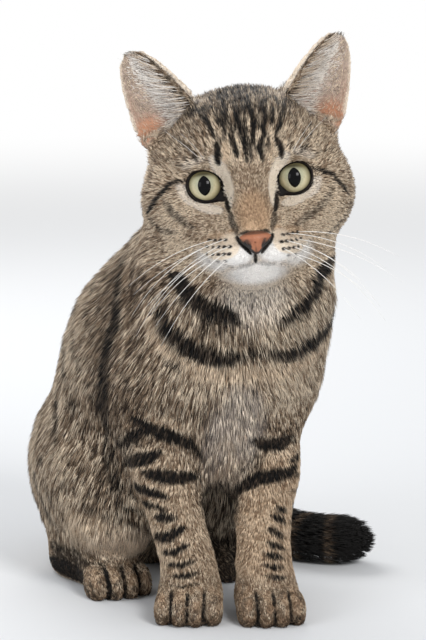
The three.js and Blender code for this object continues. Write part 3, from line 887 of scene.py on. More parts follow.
# Strokes on the body: half width, strength and points, in mm. First the necklaces, then the shoulder's fold
# with painted shade, the right foreleg from the top, the left one from the top, and the right thigh and hind
# foot, the lowest as painted shade
BODY_STROKES = [
    (6.0, 1.00, [(-21, -83, 200), (-13, -87, 190), (-7, -88, 182), (0, -89, 176), (11, -90, 173),
        (19, -89, 169)]),
    (5.2, 0.95, [(74, -52, 205), (70, -66, 200), (65, -78, 193), (63, -76, 183), (58, -79, 177),
        (51, -82, 173), (42, -85, 167)]),
    (3.9, 0.45, [(-6, -86, 168), (5, -88, 164), (16, -88, 160)]),
    (5.6, 1.00, [(-25, -77, 172), (-20, -79, 163), (-12, -82, 156), (-1, -85, 150.5),
        (10, -87, 148), (22, -86, 149)]),
    (3.9, 0.60, [(22, -87, 150), (31, -86, 152), (44, -81, 149)]),
    (4.9, 1.00, [(38, -83, 150), (44, -81, 148), (53, -77, 150), (62, -70, 154), (70, -56, 161),
        (74, -38, 170), (72, -18, 182)]),
    (2.4, 0.80, [(-23, -78, 147), (-15, -81, 143), (-13, -82, 139)]),
    # the shoulder's fold: partly a dark bar, partly painted shade in the fold; the broad stroke after it is
    # painted shade beside the fold
    (5.2, 0.90, [(-44, -32, 198), (-49, -57, 165), (-54, -54, 152), (-56, -54, 125), (-55, -41, 93)]),
    (6.5, 0.75, [(-55, -54, 138), (-57, -51, 118), (-56, -44, 100)]),
    (3.7, 1.00, [(-39, -69, 111), (-33, -72, 108), (-24, -74, 104), (-13, -75, 101),
        (-5, -76, 97), (-2, -75, 92)]),
    (2.7, 0.95, [(-52, -44, 89), (-44, -61, 97), (-36, -70, 104), (-31, -72, 103)]),
    (2.2, 0.60, [(-47, -49, 87), (-40, -66, 96), (-33, -71, 101)]),
    (4.3, 1.00, [(-47, -49, 80), (-39, -67, 87), (-30, -74, 90), (-25, -74, 93)]),
    (4.1, 1.00, [(-33, -72, 81), (-24, -75, 80), (-15, -76, 79), (-4, -73, 79)]),
    (2.9, 1.00, [(-41, -53, 69), (-34, -70, 71), (-26, -75, 70), (-20, -78, 68)]),
    (2.1, 0.80, [(-37, -59, 62), (-29, -74, 63), (-21, -78, 61)]),
    (2.6, 0.90, [(-27, -74, 56), (-22, -78, 57), (-15, -80, 57)]),
    (3.1, 1.00, [(-29, -72, 44), (-24, -78, 46), (-20, -81, 46), (-15, -82, 50), (-11, -81, 52)]),
    (2.0, 0.90, [(-23, -78, 37), (-16, -84, 39), (-8, -84, 43)]),
    (1.9, 0.90, [(-20, -82, 31), (-12, -86, 32), (-4, -86, 35)]),
    (1.8, 0.85, [(-20, -82, 25), (-11, -88, 26), (-2, -86, 28)]),
    (1.5, 0.75, [(-19, -85, 20), (-11, -90, 20), (-2, -88, 22)]),
    (4.0, 1.00, [(28, -79, 101), (35, -77, 98), (42, -74, 98), (49, -69, 101)]),
    # painted shade beside the bib, between the forelegs
    (5.6, 0.52, [(33, -79, 94), (25, -79, 85), (16, -78, 76), (8, -77, 76)]),
    (2.4, 0.90, [(48, -73, 88), (54, -66, 89), (61, -57, 92)]),
    (4.1, 1.00, [(18, -75, 71), (24, -78, 76), (31, -80, 80), (40, -78, 81), (48, -74, 82), (52, -69, 84)]),
    (2.2, 0.80, [(40, -79, 63), (46, -75, 60)]),
    (2.1, 0.90, [(38, -82, 59), (44, -79, 56), (47, -77, 53)]),
    (2.1, 0.90, [(36, -83, 52), (41, -82, 49), (46, -80, 46)]),
    (2.0, 0.90, [(34, -84, 45), (39, -84, 43), (45, -81, 40)]),
    (1.9, 0.85, [(33, -85, 39), (39, -86, 37), (45, -83, 35)]),
    (1.8, 0.85, [(32, -87, 33), (39, -87, 31), (45, -84, 30)]),
    (1.7, 0.80, [(32, -88, 27), (40, -88, 25), (46, -86, 25)]),
    (4.8, 0.62, [(-57, -40, 97), (-54, -43, 86), (-52, -46, 76), (-50, -47, 65), (-47, -47, 56),
        (-45, -46, 49)]),
    # painted shade: these three low strokes lie where the right thigh meets its hind foot and the floor
    (6.0, 0.66, [(-90, 12, 18), (-83, -4, 17), (-74, -17, 18), (-66, -31, 17)]),
    (3.6, 0.75, [(-68, -30, 17), (-58, -36, 17), (-48, -38, 16), (-40, -36, 15)]),
    (6.5, 0.95, [(-92, 17, 7), (-83, -4, 8), (-74, -16, 8), (-65, -36, 9)]),
]
LIGHT_STROKES = [
    (7.0, 1.00, [(-80, -20, 36), (-70, -38, 36), (-58, -40, 31), (-48, -38, 27), (-38, -30, 27)]),
    (6.0, 0.80, [(-79, -28, 47), (-67, -45, 45), (-55, -47, 41), (-43, -45, 38), (-36, -34, 34)]),
    (2.2, 0.60, [(-46, -34, 190), (-43, -58, 178), (-42, -64, 160), (-46, -62, 132), (-49, -57, 108)]),
    (5.2, 0.95, [(-32, -73, 168), (-27, -76, 157), (-17, -80, 149), (-5, -84, 141), (9, -87, 139),
        (26, -85, 138), (44, -79, 139), (58, -71, 144), (69, -54, 151)]),
    (3.6, 0.70, [(-29, -74, 112), (-18, -76, 110), (-7, -78, 107)]),
    (3.1, 0.60, [(-30, -73, 96), (-21, -75, 95), (-10, -74, 90), (-4, -74, 86)]),
    (3.1, 0.60, [(-30, -74, 75), (-20, -77, 74), (-7, -74, 72)]),
    (3.1, 0.60, [(32, -79, 91), (41, -76, 90), (49, -70, 94)]),
]
SPINE = [(19, -20, 287), (19, -1, 240), (8, 18, 215), (-8, 35, 195), (-25, 52, 165)]
SPINE += [(-36, 66, 138), (-42, 86, 100), (-48, 98, 66), (-52, 104, 36)]


def to_line(p, line):
    """Distance from each point to a line of joined points, and how far along it, from 0 to 1."""
    line = np.array(line, float)
    best, along = np.full(len(p), np.inf), np.zeros(len(p))
    run, total = 0.0, length_of(np.diff(line, axis=0)).sum()
    for a, b in zip(line[:-1], line[1:]):
        size = math.sqrt((b - a) @ (b - a))
        t = np.clip((p - a) @ (b - a) / size**2, 0, 1)
        d = length_of(p - a - t[:, None] * (b - a))
        nearer = d < best
        along[nearer] = ((run + t * size) / total)[nearer]
        best = np.minimum(best, d)
        run += size
    return best, along


def stroke(p, line, half, strength):
    """How much of a mark is at each point: full on the line, soft at the sides, thinner to both ends."""
    d, t = to_line(p, line)
    tapered = half * (1 - 0.55 * np.abs(2 * t - 1) ** 3)
    return strength * step(tapered + 0.3 * half + 0.35, tapered - 0.35 * half, d)


RIPPLE_WAVES = 9
RIPPLE_SPAN = 8.0  # the sum of the waves that goes from darkest to lightest


def ripple(p, size, seed):
    """A soft pattern of light and dark patches, from 0 to 1, without a grid."""
    waves = np.random.default_rng(seed)
    total = np.zeros(len(p))
    for _ in range(RIPPLE_WAVES):
        direction = unit(waves.normal(size=3)) * waves.uniform(0.6, 1.7) * WHOLE_TURN / size
        total += np.sin(p @ direction + waves.uniform(0, WHOLE_TURN))
    return np.clip(0.5 + total / RIPPLE_SPAN, 0, 1)


def waved(run, length):
    """A wave along a run of so many mm from crest to crest."""
    return np.sin(run * WHOLE_TURN / length)


def on_face(lines):
    """The same strokes, with their points laid on the face."""

    def placed(line):
        return front_of(face_shape, *np.array(line, float).T)

    return [(half, strength, placed(line)) for half, strength, line in lines]


def roots_of_whiskers():
    roots_at = []
    for side in SIDES:
        for z, near, far, count in WHISKER_ROWS:
            xs = np.linspace(near, far, count)
            roots_at.append(front_of(face_shape, side * xs - MUZZLE_ASIDE, z + (xs - near) * 0.03))
    return np.concatenate(roots_at)


face_lines = on_face(FACE_STROKES)
eye_bands = on_face(EYE_BANDS)
whisker_roots = roots_of_whiskers()


class Marks:
    """How dark, pale, warm and light the coat is at each of some points."""

    def __init__(self, count, warm, light):
        self.dark, self.pale = np.zeros(count), np.zeros(count)
        self.warm, self.light = np.full(count, warm), light

    def most(self, where=slice(None), **levels):
        """Raises each named kind to at least the level given, at the points given."""
        for kind, level in levels.items():
            values = getattr(self, kind)
            values[where] = np.maximum(values[where], level)

    def rows(self):
        return np.stack([self.dark, self.pale, self.warm, self.light], -1)


def crown_marks(m, f):
    """The forehead's and crown's streaks, between and behind the strokes."""
    x, _, z = f.T
    middle = step(23, 12, np.abs(x - 0.4))
    streaks = step(0.51, 0.60, ripple(f * [1, 0.2, 0.2], 4.2, 5))
    m.most(dark=step(33, 45, z) * middle * (0.62 + 0.34 * streaks))
    m.most(dark=0.78 * step(32, 42, z) * step(46, 30, np.abs(x)) * (0.55 + 0.45 * streaks))
    m.most(dark=0.7 * streaks * middle * step(10, 20, z) * step(48, 30, z))
    streaks = step(0.46, 0.6, ripple(f * [1, 0.2, 0.2], 3.6, 25))
    m.most(dark=streaks * 0.6 * step(26, 36, z) * step(40, 26, np.abs(x)))
    flecks = step(0.55, 0.68, ripple(f * [1, 0.4, 0.4], 3.4, 15)) * step(16, 8, np.abs(np.abs(x) - 30))
    m.most(dark=0.5 * flecks * (z > 12))


def face_light(f):
    """How light the face is: darker on the crown, the bridge of the nose and the cheeks' sides, which hold
    painted shade, most on the cat's right.
    """
    x, _, z = f.T
    light = 0.66 + 0.3 * (ripple(f * [1, 0.5, 0.6], 8, 4) - 0.5)
    light += 0.4 * (ripple(f * [1, 0.3, 0.3], 2.4, 14) - 0.5)
    light -= 0.42 * step(24, 42, z) + 0.34 * step(29, 39, z)
    # the cheeks' outer edges: partly their own dark fur, partly painted shade, much stronger on the cat's
    # right
    light -= mix(0.15, 0.62, step(10, -10, x)) * step(45, 55, np.abs(x))
    light -= 0.16 * oval((x + 31) / 15, (z + 23) / 8)
    light -= 0.3 * step(13, 6, np.abs(x)) * step(-25, -12, z) * step(12, 4, z)
    light -= 0.12 * step(18, 26, np.abs(x)) * step(10, 16, z)
    fine = ripple(f * [1, 0.2, 0.2], 3.0, 18) - 0.5
    return light + step(24, 14, np.abs(x)) * step(8, 18, z) * step(50, 38, z) * (0.2 + 1.1 * fine)


def face_marks(f):
    """The marks at points of the face, in the head's frame."""
    x, y, z = f.T
    m = Marks(len(f), 0.16, face_light(f))
    for half, strength, line in face_lines:
        m.most(dark=stroke(f, line, half, strength))
    crown_marks(m, f)
    for root in whisker_roots:
        spot = step(1.7, 0.7, length_of((f - root) * [0.85, 0.6, 1.15]))
        m.most(dark=mix(0.85, 0.5, step(-35, -40, root[2])) * spot)
    for kind, (px, pz), (sx, sz), strength in FACE_PATCHES:
        patch = strength * oval((x - px) / sx, (z - pz) / sz, 1.25, 0.55) * (y < 22)
        m.most(**{kind: m.light + patch * 0.45 if kind == "light" else patch})
    for half, strength, line in eye_bands:
        band = stroke(f, line, half, strength)
        m.most(pale=band, warm=0.42 * band, light=0.5 + 0.75 * band)
    return m


def mark_ears(m, q):
    """On the ears: ticked at the inner edge, pale streaks, and a light rim with a dark tip."""
    for side in SIDES:
        s, rise, proud = ear_share(side, q)
        on = np.flatnonzero((rise > 0.0) & (np.abs(s) < 1.4) & (np.abs(proud) < 7))
        s, rise, proud = s[on], rise[on], proud[on]
        ticks = ripple(q[on] * [1, 0.5, 0.5], 3.6, 21)
        streaked = step(-0.6, -0.3, s) * step(0.5, 0.2, s)
        far = step(0.2, 0.5, s)
        front = {
            "dark": step(0.0, -0.55, s) * (0.14 + 0.46 * step(0.45, 0.62, ticks)),
            "pale": np.clip(0.55 * streaked + 0.35 * far, 0, 1),
            "warm": 0.16 + 0.2 * far,
            "light": 0.5 + 0.3 * streaked + 0.5 * (ticks - 0.5),
        }
        for kind, level in front.items():
            values = getattr(m, kind)
            values[on] = mix(values[on], level, step(0.0, 0.1, rise) * (proud > 0))
        rim = step(0.86, 0.95, np.abs(s)) * step(0.05, 0.2, rise) * (proud > -3.0)
        tip = step(0.93, 1.0, rise)
        m.dark[on] = np.maximum(m.dark[on] * (1 - rim), 0.85 * tip)
        rim = rim * (1 - tip)
        m.most(on, pale=0.85 * rim, warm=0.42 * rim)


TRUNK_RUN = np.array([-0.33, 0.69, -0.66])  # the way across the trunk's bars
COMBED = np.array([-0.2, 0.42, -0.88])  # the way that ticking is drawn out on the body
TRUNK_BARS, LEG_RINGS, TAIL_RINGS = 23.0, 9.5, 15.5  # mm from one to the next


def mark_trunk(m, b, q, in_face):
    """Bars on the flanks and haunches, the spine's line and rings round the sides of the forelegs."""
    x, y, z = b.T
    bars = np.zeros(len(b))
    low = np.flatnonzero(~in_face | (q[:, 2] < -45))
    for half, strength, line in BODY_STROKES:
        bars[low] = np.maximum(bars[low], stroke(b[low], line, half, strength))
    for half, strength, line in LIGHT_STROKES:
        band = stroke(b[low], line, half, strength)
        m.most(low, light=mix(m.light[low], 0.95, band), warm=0.3 * band)
    from_spine, _ = to_line(b, SPINE)
    bars = np.maximum(bars, 0.9 * step(14, 5, from_spine) * (~in_face))
    run = b @ TRUNK_RUN + 9 * (ripple(b, 70, 8) - 0.5)
    across = step(0.1, 0.65, waved(run, TRUNK_BARS)) * step(0.30, 0.52, ripple(b, 30, 9))
    flank = step(-52, -30, y) * step(20, 40, z) * step(4, 14, from_spine) * (1 - in_face)
    bars = np.maximum(bars, mix(0.45, 0.8, step(-30, 20, y)) * across * flank)
    bars = np.maximum(bars, 0.36 * step(60, 20, from_spine) * flank)
    leg_side = step(-77, -67, y) * step(-38, -48, y) * step(20, 27, z) * step(106, 94, z)
    rings = step(0.0, 0.6, waved(z + 0.35 * x, LEG_RINGS)) * step(0.38, 0.52, ripple(b, 18, 30))
    bars = np.maximum(bars, 0.72 * rings * leg_side)
    m.light += 0.04 * flank
    to_tail, tail_along = to_line(b, TAIL_LINE)
    tail = step(23, 19, to_tail) * (z < 52)
    from_tip = (1 - tail_along) * length_of(np.diff(TAIL_LINE, axis=0)).sum()
    rings = 1 - 0.75 * step(-0.1, 0.6, waved(from_tip - 26, TAIL_RINGS)) * (from_tip > 27)
    m.most(dark=mix(bars, rings, tail) * (1 - m.pale))


def shade_body(m, b, q):
    """Where the body's coat is darker or lighter in broad areas, with painted shadow on the neck behind the
    right cheek.
    """
    x, y, z = b.T
    shoulder = step(-26, -42, x) * step(95, 125, z) * step(205, 185, z) * step(-20, -40, y)
    loin = step(-38, -48, x) * step(48, 62, z) * step(142, 122, z) * step(-76, -64, x)
    # painted shadow: the neck behind the right cheek, under the head
    shadow_behind_cheek = oval((x + 34) / 26, (z - 191) / 13) * step(-38, -48, q[:, 2]) * step(-8, -20, x)
    m.light -= 0.36 * shoulder + 0.14 * loin + 0.32 * shadow_behind_cheek
    m.light += 0.2 * oval((x + 73) / 9, (z - 130) / 24)


def mark_breast(m, b, q):
    """The pale bib and throat, the painted shade under the jaw and between the forelegs, and painted light on
    the chest's left side.
    """
    x, y, z = b.T
    bib = oval((x - 16 + (100 - z) * 0.16) / (12 + (z - 70) * 0.14), (z - 90) / 36, 1.35, 0.3)
    upper = oval((x - 22) / 13, (z - 119) / 17, 1.2, 0.4)
    streaks = 0.45 + 1.1 * ripple(b * [1, 1, 0.3], 5, 27)
    bib = np.maximum(bib, 0.62 * upper) * step(-48, -62, y) * streaks
    m.most(pale=mix(0.2, 0.46, step(82, 100, z)) * bib, warm=0.3 * bib)
    low_front = oval((x + 46) / 22, (z - 31) / 12) * step(-14, -30, y) * step(20, 27, z)
    m.most(pale=0.26 * low_front, warm=0.6 * low_front)
    m.light += 0.1 * low_front + 0.16 * upper * step(-48, -62, y)
    m.light += 0.12 * oval((x - 14) / 56, (z - 128) / 26, 1.15) * step(-30, -60, y)
    m.light -= 0.22 * step(128, 104, z) * step(-40, -55, y) * (z > 60)
    # painted light: the chest's left side is lighter, as where the lamp falls
    m.light += 0.16 * step(26, 44, x) * step(-20, -45, y) * step(85, 100, z) * step(200, 170, z)
    throat = oval((x - 28) / 24, (z - 182) / 20, 1.1, 0.4) * step(-60, -80, y)
    m.most(pale=0.28 * throat)
    # painted shade under the jaw
    under_jaw = oval(x / 22, (z - 189) / 6) * step(-50, -70, y) * (q[:, 2] < -52)
    m.light += 0.42 * throat - 0.34 * under_jaw
    # painted shade in the hollow between the forelegs and under the chest
    hollow = oval((x - 9) / 12, (z - 64) / 15, 1.15, 0.7) * step(-20, -30, y)
    under = step(-52, -40, y) * step(6, -6, y) * step(75, 60, z) * step(26, 14, np.abs(x - 8))
    m.most(dark=np.maximum(0.85 * hollow, 0.5 * under))


def mark_legs(m, b):
    """The forelegs are light and warm at the front."""
    x, y, z = b.T
    legs = step(-48, -58, y) * step(104, 84, z + 22 * step(26, 8, np.abs(x - 8))) * step(16, 30, z)
    m.light = mix(m.light, np.maximum(m.light, 0.70 + 0.3 * (m.light - 0.5)), legs)
    m.light += 0.1 * legs * step(14, 26, x) * step(34, 52, z)
    m.most(warm=mix(0.32, 0.5, step(8, 20, x)) * legs)


# How light the toes are, how dark the painted shade in a cleft and the toes' patches are, how wide a cleft,
# how dark the whole paw
PAW_MARKS = {
    "front_paw_right": (0.5, 0.85, 0.36, 1.5, 0.0),
    # the front left paw's toes are less light: painted shade on this paw
    "front_paw_left": (0.42, 0.85, 0.36, 1.5, 0.0),
    "hind_foot_right": (0.5, 1.0, 0.5, 1.9, 0.0),
    "hind_foot_left": (0.42, 1.0, 0.5, 1.9, 0.7),
}


def mark_paws(m, b, p):
    for name, place in paw_places.items():
        level, cleft_shade, patch_dark, width, whole = PAW_MARKS[name]
        t = place.inward(p)
        near = inside(t, (-26, -34, -FAR), (26, 12, 27))
        from_cleft = np.abs(t[:, 0] / TOE_APART - np.array([[-1], [0], [1]])).min(0) * TOE_APART
        # painted shade in the clefts between the toes
        cleft = step(width, 0.4, from_cleft) * step(-3, -11, t[:, 1]) * step(22, 16, t[:, 2])
        m.most(dark=cleft_shade * cleft * near)
        toes = step(26, 16, t[:, 2]) * near
        # the toes are less light low down: painted shade under the toes
        m.light = mix(m.light, level + 0.3 * (ripple(b, 7, 12) - 0.5) - 0.3 * step(10, 3, t[:, 2]), toes)
        m.most(warm=0.42 * toes * step(0.35, 0.6, ripple(b, 11, 17)))
        m.most(dark=patch_dark * toes * step(0.5, 0.7, ripple(b, 7, 13)))
        # painted shade under the toes, near the floor
        m.most(dark=0.42 * near * step(7, 1.5, t[:, 2]))
        m.most(dark=whole * near)


def markings(p):
    """For points on the coat: how dark, pale, warm and light it is there, each from 0 to 1."""
    q = head.inward(p)
    b = p - shift
    in_face = (length_of(q - np.array([0, 25, 0])) < 78) & (q[:, 2] > -60) & (q[:, 1] < 50)
    drawn_out = b - 0.74 * (b @ COMBED)[:, None] * COMBED
    light = 0.42 + 0.25 * (ripple(b, 34, 3) - 0.5) + 0.7 * (ripple(drawn_out, 3.4, 6) - 0.5)
    m = Marks(len(p), 0.06, light)
    for kind, values in vars(face_marks(q[in_face])).items():
        getattr(m, kind)[in_face] = values
    mark_ears(m, q)
    mark_trunk(m, b, q, in_face)
    shade_body(m, b, q)
    mark_breast(m, b, q)
    mark_legs(m, b)
    mark_paws(m, b, p)
    return np.clip(m.rows(), 0, 1)


# Materials


class Socket:
    """A shader socket that takes part in sums."""

    def __init__(self, sheet, socket):
        self.sheet, self.socket = sheet, socket

    def sum_with(self, operation, other):
        return self.sheet.node("ShaderNodeMath", {"operation": operation}, {0: self, 1: other})

    def __add__(self, other):
        return self.sum_with("ADD", other)

    __radd__ = __add__

    def __mul__(self, other):
        return self.sum_with("MULTIPLY", other)

    __rmul__ = __mul__

    def __sub__(self, other):
        return self.sum_with("SUBTRACT", other)

    def __rsub__(self, other):
        return self.sheet.node("ShaderNodeMath", {"operation": "SUBTRACT"}, {0: other, 1: self})

    def __pow__(self, other):
        return self.sum_with("POWER", other)


RAYS_SEEN = ("Camera", "Glossy", "Transmission")


class Sheet:
    """A tree of shader nodes, which all come from one method."""

    def __init__(self, owner):
        owner.use_nodes = True
        self.tree = owner.node_tree

    def node(self, kind, settings=None, values=None, output=0):
        made = self.tree.nodes.new(kind)
        for key, value in (settings or {}).items():
            setattr(made, key, value)
        for key, value in (values or {}).items():
            self.feed(made.inputs[key], value)
        return Socket(self, made.outputs[output])

    def feed(self, entry, value):
        if isinstance(value, Socket):
            self.tree.links.new(value.socket, entry)
        else:
            entry.default_value = value

    def place(self):
        return self.node("ShaderNodeTexCoord", output="Object")

    def seen_directly(self):
        """1 for rays from the view and for those that gloss and glass send on, 0 for all others."""
        rays = self.node("ShaderNodeLightPath").socket.node.outputs
        view, glossy, through = (Socket(self, rays[f"Is {kind} Ray"]) for kind in RAYS_SEEN)
        either = glossy + through
        return self.node("ShaderNodeMath", {"operation": "ADD", "use_clamp": True}, {0: view, 1: either})


class Finish(Sheet):
    """A material."""

    def __init__(self, name):
        self.material = bpy.data.materials.new(name)
        super().__init__(self.material)
        self.shader = self.tree.nodes["Principled BSDF"]

    def set(self, **values):
        for key, value in values.items():
            self.feed(self.shader.inputs[key.replace("_", " ")], value)

    def range(self, value, low, high, to_low=0.0, to_high=1.0):
        return self.node(
            "ShaderNodeMapRange",
            {"interpolation_type": "SMOOTHSTEP"},
            {"Value": value, "From Min": low, "From Max": high, "To Min": to_low, "To Max": to_high},
        )

    def blend(self, share, a, b):
        return self.node("ShaderNodeMix", {"data_type": "RGBA"}, {"Factor": share, 6: a, 7: b}, output=2)

    def noise(self, scale, detail=2.0, vector=None, roughness=0.5):
        values = {"Vector": vector or self.place(), "Scale": scale, "Detail": detail, "Roughness": roughness}
        return self.node("ShaderNodeTexNoise", values=values)

    def attribute(self, name, output):
        return self.node("ShaderNodeAttribute", {"attribute_name": name}, output=output)

    def parts(self, kind, value):
        """The three numbers of a vector or colour."""
        split = self.node(kind, values={0: value}).socket.node
        return [Socket(self, output) for output in split.outputs]

    def bump(self, height, strength, distance):
        values = {"Height": height, "Strength": strength, "Distance": distance}
        return self.node("ShaderNodeBump", values=values)


def shade(r, g, b):
    """A colour of 0 to 255 as the shader's own numbers."""
    curved = [((c / 255 + 0.055) / 1.055) ** 2.4 if c > 10 else c / 255 / 12.92 for c in (r, g, b)]
    return (*curved, 1.0)


def coat_colour(f, along, chance):
    """The coat's colour from its markings: banded hair, whose dark roots are partly painted shade deep in the
    coat, dark stripes, pale and warm parts.
    """
    dark, pale, warm = f.parts("ShaderNodeSeparateColor", f.attribute("marks", "Color"))
    light = f.attribute("marks", "Alpha")
    level = chance * 0.85 + light * 0.75
    tip = f.blend(f.range(level, 0.28, 0.66), shade(58, 48, 40), shade(152, 130, 107))
    tip = f.blend(f.range(level, 0.62, 1.1), tip, shade(240, 223, 199))
    # dark roots: partly the hair's own banding, partly painted shade deep in the coat
    banded = f.blend(f.range(along, 0.05, 0.5), shade(70, 59, 51), tip)
    banded = f.blend(f.range(along, 0.80, 1.0) * f.range(chance, 0.5, 0.2) * 0.7, banded, shade(40, 33, 29))
    stripe = f.blend(f.range(chance, 0.35, 1.0), shade(12, 10, 9), shade(74, 61, 50))
    rusty = f.blend(f.range(level, 0.4, 1.05), shade(134, 102, 76), shade(222, 188, 152))
    colour = f.blend(warm, banded, rusty)
    white = f.blend(f.range(level, 0.2, 0.7), shade(226, 222, 218), shade(252, 251, 250))
    cream = f.blend(f.range(level, 0.2, 0.8), shade(238, 216, 192), shade(255, 243, 226))
    colour = f.blend(pale, colour, f.blend(f.range(warm, 0.1, 0.4), white, cream))
    return f.blend(f.range(dark - chance * 0.4, -0.12, 0.72), colour, stripe)


def coat_material():
    f = Finish("tabby coat")
    along, chance, _ = f.parts("ShaderNodeSeparateXYZ", f.attribute("strand", "Vector"))
    f.set(Base_Color=coat_colour(f, along, chance), Roughness=0.6, Specular_IOR_Level=0.25)
    return f.material


def skin_material():
    """Coat-coloured skin, bare and pink inside the ears, and tan in the pocket at their outer edge, partly
    painted glow of light through the thin ear.
    """
    f = Finish("tabby skin")
    fleck = f.noise(900)
    colour = coat_colour(f, f.range(fleck, 0.3, 0.7, 0.1, 0.45), f.range(fleck, 0.35, 0.65, 0.25, 0.5))
    pink = f.blend(f.range(f.noise(500, 3.0), 0.35, 0.65), shade(150, 134, 124), shade(188, 168, 156))
    # tan: the pocket's own skin, partly painted glow of light shining through the thin ear
    tan_and_glow = f.blend(f.noise(200), shade(178, 124, 96), shade(206, 154, 124))
    inner = f.blend(f.attribute("pocket", "Fac"), pink, tan_and_glow)
    f.set(
        Base_Color=f.blend(f.attribute("bare", "Fac"), colour, inner),
        Roughness=0.62,
        Specular_IOR_Level=0.3,
        Normal=f.bump(f.noise(1300, 3.0), 0.5, 0.0004),
    )
    return f.material


def rim_material():
    f = Finish("lid rim")
    colour = f.blend(f.noise(600), shade(9, 7, 7), shade(24, 18, 16))
    grain = f.bump(f.noise(1500), 0.3, 0.0002)
    f.set(Base_Color=colour, Roughness=0.6, Specular_IOR_Level=0.12, Normal=grain)
    return f.material


def nose_material():
    f = Finish("nose leather")
    pebble = f.node("ShaderNodeTexVoronoi", {"feature": "F1"}, {"Vector": f.place(), "Scale": 1500.0})
    colour = f.blend(f.noise(300, 3.0), shade(138, 84, 58), shade(178, 114, 80))
    # dark where the leather is hollow: painted shade in the nostrils, slits and groove; the edges are dark as
    # well
    colour = f.blend(f.attribute("hollow", "Fac"), colour, shade(16, 9, 8))
    f.set(Base_Color=colour, Roughness=0.45, Specular_IOR_Level=0.5, Normal=f.bump(pebble, 0.45, 0.0003))
    return f.material


def eye_material():
    """A pale iris with a slit pupil under a clear, glossy coat, with painted shade of the upper lid across
    its top. Lengths are shares of the ball's radius.
    """
    f = Finish("eye")
    x, _, z = f.parts("ShaderNodeSeparateXYZ", f.attribute("eye_plane", "Vector"))
    out = f.node("ShaderNodeMath", {"operation": "SQRT"}, {0: x * x + z * z})
    across = f.node("ShaderNodeMath", {"operation": "ABSOLUTE"}, {0: x * 3.35})
    pupil = across**1.5 + (z * 2.12) ** 2.0
    turn = f.node("ShaderNodeMath", {"operation": "ARCTAN2"}, {0: z, 1: x})
    fibre = f.noise(3.2, 4.0, f.node("ShaderNodeCombineXYZ", values={0: turn * 5.0, 1: out * 3.0}), 0.6)
    colour = f.blend(f.range(out, 0.25, 0.62), shade(156, 156, 132), shade(196, 184, 148))
    for share, tone in (
        (f.range(fibre, 0.35, 0.7) * 0.5, shade(218, 212, 182)),
        (f.range(z, -0.25, 0.35) * 0.45, shade(138, 148, 128)),
        # painted shade: the upper lid's shadow darkens the iris's top
        (f.range(z, 0.25, 0.6) * 0.8, shade(64, 62, 44)),
        (f.range(z, 0.42, 0.62) * 0.8, shade(34, 30, 22)),
        (f.range(out, 0.5, 0.76) * 0.8, shade(112, 104, 72)),
        (f.range(out, 0.72, 0.82), shade(24, 20, 14)),
        (f.range(pupil, 1.06, 0.96), shade(3, 3, 4)),
    ):
        colour = f.blend(share, colour, tone)
    f.set(
        Base_Color=colour,
        Roughness=0.4,
        Specular_IOR_Level=0.0,
        Coat_Weight=1.0,
        Coat_Roughness=0.03,
        Coat_IOR=1.22,
    )
    return f.material


def whisker_material():
    f = Finish("whisker")
    colour = f.blend(f.noise(400), shade(238, 234, 228), shade(250, 248, 244))
    f.set(Base_Color=colour, Roughness=0.35, Specular_IOR_Level=0.5)
    return f.material


# Tufts of the coat

TUFT_FACES = np.array([(1, 3, 4), (3, 2, 4), (2, 1, 4), (3, 1, 0), (2, 3, 0), (1, 2, 0)])
TUFT_POINTS = 5
TUFT_ALONG = [0.0, 0.4, 0.4, 0.4, 1.0]  # how far along a tuft its points are
PATCH_HALF = 0.0015  # half the side of a tuft's patch on the map for baking
TUFT_PATCH = PATCH_HALF * np.array([(-1, -1), (-1, 0.2), (1, 0.2), (0, 0.4), (0, 1)])
PIECE_LIMIT = 32500  # tufts in one piece
COAT_SEED = 5


class Roots:
    """Places on the skin that tufts grow from, with all that the skin says there."""

    def __init__(self, number_at, seed):
        mesh = skin.data
        mesh.calc_loop_triangles()
        corners = taken(mesh.loop_triangles, "vertices", 3, np.int32)
        loops = taken(mesh.loop_triangles, "loops", 3, np.int32)
        a, b, c = (points[corners[:, k]] for k in range(3))
        area = length_of(np.cross(b - a, c - a)) / 2
        running = np.cumsum(area * number_at[corners].mean(1))
        self.dice = np.random.default_rng(seed)
        total = int(running[-1])
        at = (np.arange(total) + self.dice.uniform(0, 1, total)) / total * running[-1]
        chosen = np.clip(np.searchsorted(running, at), 0, len(corners) - 1)
        u, v = self.dice.uniform(0, 1, (2, total))
        over = u + v > 1
        u[over], v[over] = 1 - u[over], 1 - v[over]
        self.share = np.stack([1 - u - v, u, v], -1)
        self.corners = corners[chosen]
        uv = taken(mesh.uv_layers["skin_map"].data, "uv", 2)
        self.uv = (uv[loops[chosen]] * self.share[..., None]).sum(1)
        self.place = self.of(points)
        self.normal = unit(self.of(normals))
        self.lie = flat_on(self.of(lie), self.normal)

    def of(self, values):
        found = values[self.corners]
        return (found * (self.share[..., None] if values.ndim > 1 else self.share)).sum(1)

    def keep(self, mask):
        for key in ("share", "corners", "uv", "place", "normal", "lie"):
            setattr(self, key, getattr(self, key)[mask])


LOCK = 4  # about so many tufts gather to each leader
GATHER = 0.4  # how far tips go towards their lock's leader
STRAY = 0.14  # how far tufts sway to the sides


